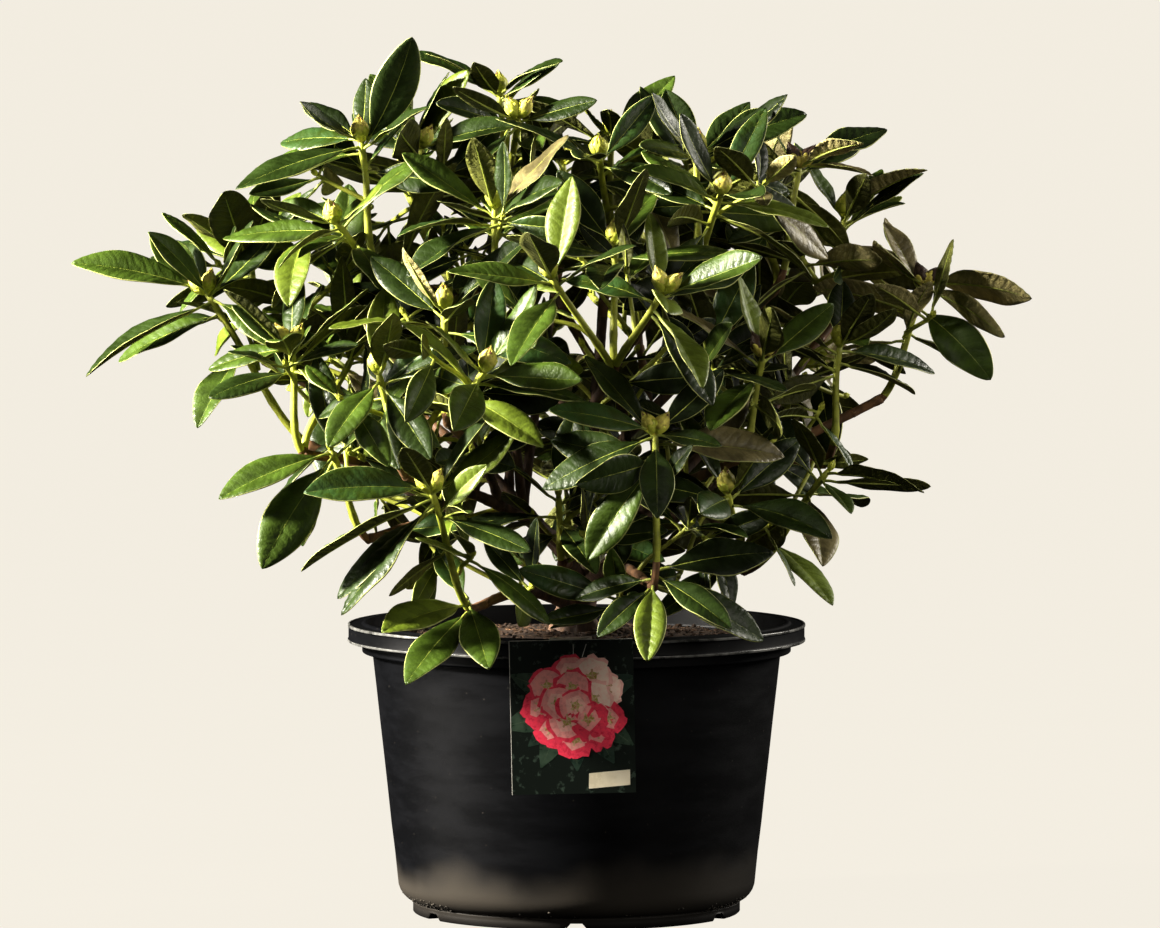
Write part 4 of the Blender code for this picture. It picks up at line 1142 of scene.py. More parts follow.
def pot_profile():
    """The pot's section, from the inside of its floor up over the rim and down to the underside."""
    band_low = RIM_TOP - RIM_BAND
    collar_low = band_low - COLLAR_HEIGHT
    lip_inner = LIP_RADIUS - WALL
    lip_top = RIM_TOP + LIP_RISE
    bead = 0.0007
    heel_mid = FOOT_HEIGHT + HEEL_RADIUS
    heel_centre = BODY_LOW_RADIUS - HEEL_RADIUS
    turns = [radians(-13 * i) for i in range(7)]
    heel = [(heel_centre + HEEL_RADIUS * cos(a), heel_mid + HEEL_RADIUS * sin(a)) for a in turns]
    outline = eased([
        ((0.0, FLOOR_TOP), 0),
        ((inner_radius(FLOOR_TOP) - HEEL_RADIUS * 0.6, FLOOR_TOP), 0.004),
        ((inner_radius(FLOOR_TOP + HEEL_RADIUS), FLOOR_TOP + HEEL_RADIUS), 0.004),
        ((inner_radius(collar_low), collar_low), 0.001),
        ((lip_inner, band_low), 0.001),
        ((lip_inner, lip_top), 0.0009),
        ((LIP_RADIUS, lip_top), 0.0007),
        ((LIP_RADIUS + 0.002, RIM_TOP - 0.0004), 0.0004),
        ((RIM_RADIUS - 0.003, RIM_TOP - 0.0006), 0.0003),
        ((RIM_RADIUS - 0.002, RIM_TOP), 0.0003),
        ((RIM_RADIUS, RIM_TOP), 0.0008),
        ((RIM_RADIUS, RIM_TOP - 0.0022), 0.0004),
        ((RIM_RADIUS - bead, RIM_TOP - 0.0028), 0.0004),
        ((RIM_RADIUS - bead, band_low + 0.0026), 0.0004),
        ((RIM_RADIUS, band_low + 0.0020), 0.0004),
        ((RIM_RADIUS, band_low), 0.0008),
        ((COLLAR_RADIUS, band_low), 0.0015),
        ((COLLAR_RADIUS, collar_low), 0.0012),
        ((BODY_TOP_RADIUS, collar_low), 0.0015),
        (heel[0], 0),
    ])
    narrowing = BODY_LOW_RADIUS - BODY_TOP_RADIUS
    shares = (0.15, 0.3, 0.45, 0.6, 0.75, 0.88)
    wall = [(BODY_TOP_RADIUS + narrowing * t, collar_low + (heel_mid - collar_low) * t) for t in shares]
    foot = [
        (FOOT_RADIUS + 0.0006, FOOT_HEIGHT),
        (FOOT_RADIUS, FOOT_HEIGHT - 0.0010),
        (FOOT_RADIUS, DRAIN_DEPTH),
        (FOOT_RADIUS, 0.0008),
        (FOOT_RADIUS - 0.0008, 0.0),
        (FOOT_RADIUS - 0.010, 0.0),
        (DRAIN_INNER_RADIUS + 0.004, 0.0),
        (DRAIN_INNER_RADIUS, 0.0),
        (0.0, 0.0),
    ]
    return outline + wall + heel + foot


def pot_shift(radius, height, turn):
    """The drainage channels in the foot, and a wall that is a hair out of round."""
    if height < DRAIN_DEPTH and radius > DRAIN_INNER_RADIUS - 0.001:
        spacing = tau / DRAIN_COUNT
        off = (turn - spacing / 2) % spacing
        if min(off, spacing - off) * FOOT_RADIUS < DRAIN_WIDTH / 2:
            height = DRAIN_DEPTH
    if 0.03 < height < 0.21 and radius > 0.14:
        radius += 0.0005 * noise.noise(round_pot(turn, 2, height * 30))
    return radius, height


def on_bead(corners):
    """Whether a face of the pot lies on one of the rim's two rounded outer edges, which take the painted
    highlight.
    """
    radius = sum(hypot(x, y) for x, y, _ in corners) / len(corners)
    height = sum(z for _, _, z in corners) / len(corners)
    upper = RIM_TOP - 0.0020 < height and radius > RIM_RADIUS - 0.0016
    lower = abs(height - (RIM_TOP - RIM_BAND + 0.0008)) < 0.0012 and radius > RIM_RADIUS - 0.0006
    return upper or lower


# The pitch and the rise of the soil's lumps, coarse to fine
SOIL_LUMPS = ((45, 0.0024), (130, 0.0016), (330, 0.0008))


def soil_top(radius, turn):
    """The uneven surface of the potting mix."""
    place = round_pot(turn, radius, 0.0)
    lumps = sum(noise.noise(place * pitch) * rise for pitch, rise in SOIL_LUMPS)
    return soil_height(radius) + lumps * min(1.0, (0.172 - radius) / 0.01 + 0.35) - 0.0006


# The corners and faces of an icosahedron
LUMP_POINTS = (
    (0, 0, 1), (0.894, 0, 0.447), (0.276, 0.851, 0.447), (-0.724, 0.526, 0.447), (-0.724, -0.526, 0.447),
    (0.276, -0.851, 0.447), (0.724, 0.526, -0.447), (-0.276, 0.851, -0.447), (-0.894, 0, -0.447),
    (-0.276, -0.851, -0.447), (0.724, -0.526, -0.447), (0, 0, -1),
)
LUMP_FACES = (
    (0, 1, 2), (0, 2, 3), (0, 3, 4), (0, 4, 5), (0, 5, 1), (1, 6, 2), (2, 6, 7), (2, 7, 3), (3, 7, 8),
    (3, 8, 4), (4, 8, 9), (4, 9, 5), (5, 9, 10), (5, 10, 1), (1, 10, 6), (11, 7, 6), (11, 8, 7), (11, 9, 8),
    (11, 10, 9), (11, 6, 10),
)
# The half sizes of a crumb of peat, a chip of bark, a longer chip and a fibre
CRUMB_SIZES = (
    (0.0017, 0.0014, 0.0011), (0.0026, 0.0020, 0.0013), (0.0048, 0.0017, 0.0008), (0.0065, 0.0005, 0.0004),
)
MUD_SIZE = (0.0012, 0.0010, 0.0008)


def add_lump(sheaf, rng, place, size, slot):
    """An irregular crumb of a size along X, Y and Z, turned at random."""
    turn = Matrix.Rotation(rng.uniform(0, 6.28), 3, "Z") @ Matrix.Rotation(rng.uniform(-0.5, 0.5), 3, "X")
    points = []
    for corner in LUMP_POINTS:
        rough = rng.uniform(0.72, 1.12)
        points.append(place + turn @ (Vector([a * b for a, b in zip(corner, size)]) * rough))
    sheaf.add(points, LUMP_FACES, slot)


def soil_crumbs(count):
    """Crumbs of peat, chips of bark and pale fibres that lie on the soil."""
    rng = random.Random(f"{SEED} crumbs")
    crumbs = Sheaf()
    for _ in range(count):
        radius = 0.168 * sqrt(rng.random())
        turn = rng.uniform(0, tau)
        if radius < 0.022:
            continue
        kind = rng.choices((0, 1, 2, 3), weights=(6, 4, 3, 1))[0]
        scale = rng.uniform(0.7, 1.6)
        size = [part * scale for part in CRUMB_SIZES[kind]]
        height = soil_top(radius, turn) + size[2] * 0.35
        add_lump(crumbs, rng, round_pot(turn, radius, height), size, kind)
    return crumbs


def mud_scraps(count):
    """Small scraps of dried mud on the heel of the pot."""
    rng = random.Random(f"{SEED} burrs")
    scraps = Sheaf()
    for _ in range(count):
        turn = rng.choice((rng.uniform(-2.9, -2.4), rng.uniform(-0.7, -0.3), rng.uniform(0, 6.28)))
        slope = radians(rng.uniform(-78, -34))
        radius = BODY_LOW_RADIUS - HEEL_RADIUS + HEEL_RADIUS * cos(slope)
        height = FOOT_HEIGHT + HEEL_RADIUS + HEEL_RADIUS * sin(slope)
        scale = rng.uniform(0.5, 1.3)
        add_lump(scraps, rng, round_pot(turn, radius, height), [part * scale for part in MUD_SIZE], 0)
    return scraps


# The picture tag


def tag_space(x, y, lift):
    """A point of the card, from its middle along the card's width and height, lifted off the print."""
    top = RIM_TOP + LIP_RISE + SEAT_GAP + TAB_WIDTH / 2 * sin(TAG_TILT)
    pivot = Vector((0.0, 0.0, top))
    place = Vector((x, -RIM_RADIUS - SEAT_GAP - TAG_THICKNESS * 0.45 - lift, top - TAG_HEIGHT / 2 + y))
    place = pivot + Matrix.Rotation(-TAG_TILT, 3, "Y") @ (place - pivot)
    return place + Vector((TAG_CENTRE_X, 0.0, 0.0))


def slab(sheaf, outline, low, high, slot, edge_slot=None):
    """A thin plate on the card, from its outline and its two levels."""
    count = len(outline)
    points = [tag_space(x, y, level) for level in (high, low) for x, y in outline]
    faces = [tuple(range(count)), tuple(reversed(range(count, 2 * count))), *belt(count, count, 0)]
    edge = slot if edge_slot is None else edge_slot
    sheaf.add(points, faces, [slot] + [edge] * (count + 1))


PETAL_BANDS = (0.06, 0.20, 0.48, 0.80, 1.0)
PETAL_COLUMNS = (-1.0, -0.55, 0.0, 0.55, 1.0)
PETAL_BORDER = (0, 1, 2, 3, 4, 9, 14, 19, 24, 23, 22, 21, 20, 15, 10, 5)


def petal(sheaf, centre, turn, size, level, rng, slots):
    """A rounded petal in four bands of colour, from its throat to its frilled edge."""
    wave = [rng.uniform(0.84, 1.10) for _ in PETAL_COLUMNS]
    points = []
    for band in PETAL_BANDS:
        half = size * (0.12 + 0.40 * sin(min(1.0, band * 1.12) * pi * 0.62))
        for frill, column in zip(wave, PETAL_COLUMNS):
            reach = size * band * (1 - 0.16 * column**2 * band) * (1 + (frill - 1) * band**3)
            x = centre[0] + cos(turn) * reach - sin(turn) * column * half
            y = centre[1] + sin(turn) * reach + cos(turn) * column * half
            points.append(tag_space(x, y, level + 0.00006 * (1 - column**2)))
    flat = [points[i] + Vector((0.0, level + 0.00010, 0.0)) for i in PETAL_BORDER]
    cells = [row + column for row in (0, 5, 10, 15) for column in range(4)]
    faces = [(a, a + 5, a + 6, a + 1) for a in cells]
    shades = [slots[a // 5] for a in cells]
    count = len(flat)
    for k, i in enumerate(PETAL_BORDER):
        after = (k + 1) % count
        faces.append((i, PETAL_BORDER[after], 25 + after, 25 + k))
    faces.append(tuple(range(25, 25 + count)))
    sheaf.add(points + flat, faces, shades + [slots[3]] * (count + 1))


def blossom(sheaf, centre, size, level, rng, pale):
    """A five-petalled flower, with a freckled throat and stamens."""
    first = rng.uniform(0, tau)
    bands = (6, 2, 2, 3) if pale else rng.choice(((6, 3, 4, 5), (6, 4, 4, 5), (6, 4, 5, 5), (3, 4, 5, 5)))
    for i in range(5):
        turn = first + i * tau / 5 + rng.uniform(-0.12, 0.12)
        petal(sheaf, centre, turn, size * rng.uniform(0.92, 1.06), level + 0.00001 * i, rng, bands)
    for i in range(5):
        turn = first + i * 1.26 + 0.5
        tip = (centre[0] + cos(turn) * size * 0.34, centre[1] + sin(turn) * size * 0.34)
        wide = size * 0.022
        ends = ((tip, 2.4), (tip, -2.4), (centre, -1), (centre, 1))
        outline = [(x + sin(turn) * wide * side, y - cos(turn) * wide * side) for (x, y), side in ends]
        slab(sheaf, outline, level, level + 0.00011, 7)


def printed_leaf(sheaf, root, turn, length, level, slot):
    """A dark leaf of the print, with a paler midrib."""
    across = Vector((-sin(turn), cos(turn)))
    ahead = Vector((cos(turn), sin(turn)))
    steps = [i / 6 for i in range(7)]
    half = [length * 0.19 * sin(pi * (0.06 + 0.92 * s)) for s in steps]
    edge = [*zip(steps, [-h for h in half]), *reversed([*zip(steps, half)])]
    rib = ((0.05, -0.0003), (0.9, -0.0001), (0.9, 0.0001), (0.05, 0.0003))
    for border, low, high, shade in ((edge, 0.0, level, slot), (rib, level, level + 0.00003, 9)):
        outline = [clamped(Vector(root) + ahead * length * s + across * w) for s, w in border]
        slab(sheaf, outline, low, high, shade)


def clamped(place):
    """A point of the print, kept on the card."""
    limits = (TAG_WIDTH / 2 - 0.0007, TAG_HEIGHT / 2 - 0.0007)
    return [max(-most, min(most, part)) for part, most in zip(place, limits)]


def add_tab(sheaf):
    """The tab that folds from the card's top over the rim."""
    tall = TAG_HEIGHT / 2
    top = tall + TAG_THICKNESS * 0.4
    face = -RIM_RADIUS - SEAT_GAP - TAG_THICKNESS
    back = -(LIP_RADIUS - WALL) + TAB_CLEARANCE
    section = [
        (face + 0.0005, tall - 0.001), (face + 0.0007, top - 0.0002), (face + 0.0014, top + 0.0003),
        (back - 0.0008, top + 0.0003), (back + 0.0002, top - 0.0003), (back + 0.0004, tall - TAB_DROP),
        (back - 0.0002, tall - TAB_DROP), (back - 0.0004, top - 0.0006), (back - 0.0010, top - 0.0003),
        (face + 0.0016, top - 0.0003), (face + 0.0012, top - 0.0006), (face + 0.0010, tall - 0.001),
    ]
    lift = -RIM_RADIUS - SEAT_GAP - TAG_THICKNESS * 0.45
    half = TAB_WIDTH / 2
    points = [tag_space(x, y, lift - depth) for x in (-half, half) for depth, y in section]
    count = len(section)
    ends = [tuple(range(count)), tuple(reversed(range(count, 2 * count)))]
    sheaf.add(points, belt(count, count, 0) + ends, 1)


PRINTED_LEAVES = (
    (0.004, 0.010, -2.45, 0.052), (0.004, 0.010, -0.65, 0.056), (0.002, 0.006, -1.55, 0.050),
    (0.000, 0.014, 2.75, 0.054), (0.006, 0.014, 0.35, 0.052), (-0.004, 0.004, -2.95, 0.056),
    (0.004, 0.012, -1.05, 0.058), (-0.002, 0.012, -2.0, 0.058),
)
# The radius, the number and the size of the blossoms in each round of the truss
TRUSS = ((0.0285, 9, 0.0165), (0.0150, 5, 0.0165), (0.0, 1, 0.0160))


def tag_sheaf():
    """The card with its folded tab, and a print of its own: a loose truss of flowers over dark leaves."""
    rng = random.Random(f"{SEED} print")
    sheaf = Sheaf()
    wide = TAG_WIDTH / 2
    tall = TAG_HEIGHT / 2
    card = [(-wide, -tall), (wide, -tall), (wide, tall), (-wide, tall)]
    slab(sheaf, card, -TAG_THICKNESS * 0.5, 0.0, 0, 1)
    add_tab(sheaf)
    for i, (x, y, turn, length) in enumerate(PRINTED_LEAVES):
        printed_leaf(sheaf, (x, y), turn, length, 0.00004 + 0.00001 * i, 8 if i % 2 else 10)
    level = 0.00014
    for radius, count, size in TRUSS:
        for i in range(count):
            turn = 0.4 + i * tau / count + rng.uniform(-0.12, 0.12)
            place = (cos(turn) * radius + 0.003, sin(turn) * radius * 0.95 + 0.009)
            pale = place[0] + 0.8 * place[1] > 0.028
            blossom(sheaf, place, size * rng.uniform(0.92, 1.08), level, rng, pale)
            level += 0.00002
    plate = [(0.012, -0.0585), (0.0455, -0.0560), (0.0455, -0.0435), (0.0125, -0.0460)]
    slab(sheaf, plate, 0.0, 0.00012, 11)
    for left, low, right, high in ((-wide, -tall, -wide + 0.0005, tall), (-wide, tall - 0.0004, wide, tall)):
        slab(sheaf, [(left, low), (right, low), (right, high), (left, high)], 0.0, 0.00006, 1)
    for x, lean in ((0.0015, 0.0), (0.0085, 0.0035)):
        cut = [(x, 0.0480), (x + 0.0006, 0.0480), (x + 0.0006 + lean, 0.0585), (x + lean, 0.0585)]
        slab(sheaf, cut, 0.0, 0.00008, 1)
    return sheaf


# Limbs


def fine_line(points, spacing):
    """Points along the smooth curve that a limb's own few points lie on."""
    start, end = points[0], points[-1]
    middle = points[len(points) // 2] * 2 - (start + end) / 2
    count = max(3, int((end - start).length / spacing))
    return [bezier(start, middle, end, i / count) for i in range(count + 1)]


def tube(sheaf, line, radii, sides, slot, relief):
    """A closed tube along a line. relief(place, turn, radius) gives the radius at a point of the skin.

    slot is a material slot, or a function that gives the slot at a share of the length.
    """
    across = (line[1] - line[0]).normalized().orthogonal().normalized()
    points = []
    for place, before, after, size in zip(line, line[:1] + line, line[1:] + line[-1:], radii):
        heading = (after - before).normalized()
        across = (across - heading * across.dot(heading)).normalized()
        over = heading.cross(across)
        for k in range(sides):
            turn = tau * k / sides
            way = across * cos(turn) + over * sin(turn)
            points.append(place + way * relief(place + way * size, turn, size))
    faces = []
    shades = []
    spans = len(line) - 1
    for i in range(spans):
        faces += belt(sides, i * sides, (i + 1) * sides)
        shades += [slot(i / spans) if callable(slot) else slot] * sides
    faces.append(tuple(reversed(range(sides))))
    faces.append(tuple(range(spans * sides, (spans + 1) * sides)))
    sheaf.add(points, faces, shades + [shades[0], shades[-1]])


def bark_relief(place, _turn, radius):
    """Shallow fissures that run up the limb, and soft swellings."""
    strips = noise.noise(Vector((place.x * 260, place.y * 260, place.z * 55)))
    swelling = noise.noise(place * 38)
    flakes = noise.noise(Vector((place.x * 620, place.y * 620, place.z * 240)))
    return radius * (1 + 0.13 * swelling + 0.11 * strips + 0.05 * flakes)


def trunk_line(count=40):
    """The trunk's centre line, sunk a little into the soil, and its radii, with a flare at the foot."""
    foot = trunk_point(0.0)
    shares = [i / count for i in range(count + 1)]
    line = [foot - UP * 0.008, foot - UP * 0.004, *[trunk_point(share) for share in shares]]
    radii = [TRUNK_RADII[0] * 1.06, TRUNK_RADII[0] * 1.04]
    radii += [float(np.interp(share, TRUNK_SHARES, TRUNK_RADII)) for share in shares]
    line.append(line[-1] + (line[-1] - line[-2]).normalized() * 0.004)
    radii.append(radii[-1] * 0.72)
    return line, radii


def trunk_relief(place, turn, radius):
    """Bark with root lobes that fade upward."""
    low = max(0.0, 1 - (place.z - SOIL_HIGH.z) / 0.022)
    lobes = 0.16 * low * cos(turn * 5 + 0.7) + 0.05 * cos(turn * 3 + place.z * 40)
    return bark_relief(place, turn, radius) * (1 + lobes)


def limb_sheaf(limbs):
    bark = Sheaf()
    tube(bark, *trunk_line(), 40, 0, trunk_relief)
    for name in BOUGHS:
        points, radii = limbs[name]
        line = fine_line(points, 0.0034)
        collars = [0.28 * max(0.0, 1 - (place - line[0]).length / 0.022) for place in line]
        widths = graded(radii[0], radii[-1], len(line) - 1)
        widths = [width + radii[0] * collar for width, collar in zip(widths, collars)]
        tube(bark, line, widths, 14, lambda share: 1 if share > 0.80 else 0, bark_relief)
    return bark


# Shoots and buds


def shoot_line(start, tip, heading, count):
    """A young shoot, which bends a little out of the limb's own direction."""
    way = (tip - start).normalized()
    bow = (heading - way * heading.dot(way)) * (tip - start).length * 0.16
    shares = [i / count for i in range(count + 1)]
    return [start.lerp(tip, t) + bow * 4 * t * (1 - t) ** 3 for t in shares]


def knotty(rng, scars):
    """A relief with a swollen ring of leaf scars at some places."""
    soft = rng.uniform(0, 9)

    def relief(place, _turn, radius):
        swell = sum(exp(-(((place - scar).length - radius) / 0.0022) ** 2) for scar in scars)
        return radius * (1 + 0.05 * noise.noise(place * 190 + Vector((soft, 0, 0))) + 0.16 * min(1.0, swell))

    return relief


def shoot_sheaf(shrub):
    """The stems, shoots and side twigs of every mass."""
    sheaf = Sheaf()
    for name, mass in shrub.masses.items():
        rng = random.Random(f"{SEED} skins {name}")
        foot = mass.foot - mass.heading * 0.004
        line = [foot.lerp(mass.node + mass.heading * 0.002, i / 6) for i in range(7)]
        tube(sheaf, line, STEM_WIDTHS, 10, 2, knotty(rng, [mass.node]))
        for shoot in mass.shoots:
            way = (shoot.tip - shoot.start).normalized()
            line = shoot_line(shoot.start - way * 0.002, shoot.tip, mass.heading, 16)
            radii = [0.0033 - 0.0008 * i / 16 for i in range(17)]
            radii[-1] *= 0.85
            brown = rng.uniform(0.0, 0.18)
            # Most shoots right of 0.12 take the darker olive copy as painted shade.
            shade_slot = 0 if shoot.tip.x < 0.12 or rng.random() < 0.35 else 1
            scars = [line[-2], line[-3], line[5]]
            tube(sheaf, line, radii, 10, lambda share: 2 if share < brown else shade_slot, knotty(rng, scars))
        for twig in shrub.twigs[name]:
            line = shoot_line(twig.start, twig.tip, UP, 8)
            tube(sheaf, line, graded(*TWIG_RADII, 8), 7, rng.choice((0, 1)), knotty(rng, [line[-2]]))
    return sheaf


STEM_WIDTHS = (0.0039, 0.0038, 0.0037, 0.0037, 0.0036, 0.0037, 0.0034)
SCALE_BORDER = (0, 4, 8, 12, 16, 17, 18, 19, 15, 11, 7, 3, 2, 1)


def ovoid(share):
    """The radius of a bud along its length, as a part of its widest."""
    if share < BUD_WIDEST:
        return 0.42 + 0.58 * sin(share / BUD_WIDEST * pi / 2)
    rest = (share - BUD_WIDEST) / (1 - BUD_WIDEST)
    return max(0.0, cos(rest * pi / 2)) ** 1.35


def scaly_bud(sheaf, base, axis, length, radius, count, shades, rng):
    """A bud of overlapping pointed scales round a core. shades are the slots of its body, foot and tips."""
    base = base - axis * 0.001
    ways = [around(axis, tau * k / 8) for k in range(8)]
    core = [
        [base + axis * length * share + way * radius * ovoid(share) * 0.9 for way in ways]
        for share in (0.0, 0.15, 0.35, 0.55, 0.75, 0.9)
    ]
    sheaf.add(*skin([*core, [base + axis * length]]), shades[0])
    spin = rng.uniform(0, 6.28)
    for i in range(count):
        low = 0.02 + 0.62 * (i / count)
        high = min(1.02, low + rng.uniform(0.36, 0.44))
        middle = spin + GOLDEN_TURN * i
        lift = radius * (0.075 - 0.045 * i / count)
        grid = []
        for r in range(5):
            t = r / 4
            share = low + (high - low) * t
            wide = 0.95 * cos(t * pi / 2 * 0.94) ** 0.8
            bulge = radius * ovoid(min(share, 0.985)) + lift * (0.4 + 0.6 * t) + (0.0002 if r == 4 else 0)
            for k in range(4):
                out = around(axis, middle + wide * (k / 1.5 - 1))
                grid.append(base + axis * length * share + out * bulge * (0.92 if k in (0, 3) else 1.0))
        inner = base + axis * length * (low + high) / 2 + around(axis, middle) * radius * 0.5
        body = shades[1] if i < count * 0.3 else shades[0]
        tip = shades[2] if i > count * 0.72 else body
        faces = [(a, a + 1, a + 5, a + 4) for row in (0, 4, 8, 12) for a in range(row, row + 3)]
        faces += [(a, b, 20) for a, b in zip(SCALE_BORDER, SCALE_BORDER[1:] + SCALE_BORDER[:1])]
        sheaf.add(grid + [inner], faces, [body] * 9 + [tip] * 3 + [shades[0]] * len(SCALE_BORDER))


def flower_shades(kind, x):
    """The slots of a flower bud's body, foot and scale tips, by chance, with the dark tint as painted shade
    on the buds of the shaded right side.
    """
    if x > SHADED_SIDE_FROM:
        return (5, 4, 5) if kind < 0.7 or x > 0.24 else (3, 1, 5)
    return (0, 1, 2) if kind < 0.55 else (3, 1, 2) if kind < 0.85 else (4, 3, 2)


def bud_sheaf(shrub):
    sheaf = Sheaf()
    for name, mass in shrub.masses.items():
        rng = random.Random(f"{SEED} buds {name}")
        for shoot in mass.shoots:
            for base, axis, radius in shoot.buds:
                shades = flower_shades(rng.random(), base.x)
                size = rng.uniform(0.92, 1.02)
                scaly_bud(sheaf, base, axis, BUD_LENGTH * size, radius * BUD_SWELL, 18, shades, rng)
            if not shoot.buds:
                scaly_bud(sheaf, shoot.tip, shoot.axis, 0.012, 0.0030, 9, (1, 1, 2), rng)
        for twig in shrub.twigs[name]:
            scaly_bud(sheaf, twig.tip, twig.axis, TWIG_BUD_LENGTH, 0.0025, 8, (1, 1, 2), rng)
    return sheaf


# Leaves

BLADE_ROWS = 18
TOP_COLUMNS = np.array([-1.0, -0.955, -0.72, -0.42, -0.12, 0.0, 0.12, 0.42, 0.72, 0.955, 1.0])
UNDER_COLUMNS = np.array([-0.72, -0.36, 0.0, 0.36, 0.72])
RIB_SHARES = np.array([0.0, 0.05, 0.09, 0.13, 0.17, 0.24, 0.36, 0.50, 0.64, 0.78, 0.90, 0.97])
RIB_RADII = np.array([1.75, 1.35, 1.25, 1.20, 1.15, 1.05, 0.90, 0.75, 0.60, 0.44, 0.28, 0.12]) * 0.001
RIB_SIDES = 5
TOP, MARGIN, UNDER, RIB = range(4)
# How far some placed leaves are turned about their own ribs, in degrees, in the order of their table.
TURNED_LEAVES = {
    "front_left": (0, 50, 35, 25),
    "left_low": (0, -30, 0),
    "left_far": (0, 20, 0),
    "right_far": (-60, -60, 45),
    "top_left_outer": (65, 0, 0),
}
# How often a leaf has each slot, by its place in the crown: deep, middle, fresh, bluish, dusky and inner
# green above, and plain, dull and bronze below. The places paint light and shade: the deep places lean to
# darker greens and the inner ones to the inner green and the dull underside, as painted shade; the low left
# ones lean to fresher greens, and the shaded and far ones to dusky and bronze tints made brighter, as
# painted light.
UPPER_SLOTS = (0, 1, 2, 3, 9, 10)
UNDER_SLOTS = (5, 6, 8)
SHARES = {
    "sunny": ((30, 40, 22, 8, 0, 0), (60, 39, 1)),
    "low": ((14, 36, 44, 6, 0, 0), (78, 21, 1)),
    "deep": ((62, 16, 3, 8, 3, 8), (56, 42, 2)),
    "inner": ((26, 6, 0, 4, 4, 60), (10, 88, 2)),
    "shaded": ((30, 24, 5, 6, 27, 8), (22, 28, 50)),
    "far": ((16, 14, 6, 4, 58, 2), (10, 10, 80)),
}


@lru_cache
def blade_pattern():
    """The faces of one leaf and what each belongs to, the same for every leaf."""
    wide = len(TOP_COLUMNS)
    low = len(UNDER_COLUMNS)
    under_start = wide * BLADE_ROWS
    tip = under_start + low * BLADE_ROWS
    faces = []
    kinds = []

    def under(row):
        inner = [under_start + row * low + k for k in range(low)]
        return [row * wide, *inner, row * wide + wide - 1]

    for r in range(BLADE_ROWS):
        last = r == BLADE_ROWS - 1
        for c in range(wide - 1):
            a = r * wide + c
            beyond = (tip,) if last else (a + wide, a + wide + 1)
            faces.append((a, *beyond, a + 1))
            kinds.append(MARGIN if c in (0, wide - 2) else TOP)
        here = under(r)
        there = under(r + 1)
        for k in range(low + 1):
            beyond = (tip,) if last else (there[k + 1], there[k])
            faces.append((here[k], here[k + 1], *beyond))
            kinds.append(UNDER)
    faces.append((*range(wide), *reversed(under(0)[1:-1])))
    kinds.append(UNDER)
    start = tip + 1
    end = start + (len(RIB_SHARES) - 1) * RIB_SIDES
    for a in range(start, end, RIB_SIDES):
        faces += belt(RIB_SIDES, a + RIB_SIDES, a)
    faces += [tuple(range(start, start + RIB_SIDES)), tuple(reversed(range(end, end + RIB_SIDES)))]
    kinds += [RIB] * (len(faces) - len(kinds))
    return faces, kinds


def leaf_frames(leaf, shares, twist, turn):
    """Arrays of places, sideways and upward directions along a leaf that is turned about its rib."""
    bend = leaf.droop * shares
    direction = np.array(leaf.direction)
    face = np.array(leaf.face)
    side = np.cross(face, direction)
    scale = leaf.length / leaf.droop
    sine = np.sin(bend)[..., None]
    cosine = np.cos(bend)[..., None]
    places = np.array(leaf.base) + (direction * sine - face * (1 - cosine)) * scale
    upward = face * cosine + direction * sine
    roll = (turn + twist * np.clip(shares - STALK_SHARE, 0, 1))[..., None]
    return places, side * np.cos(roll) + upward * np.sin(roll), upward * np.cos(roll) - side * np.sin(roll)


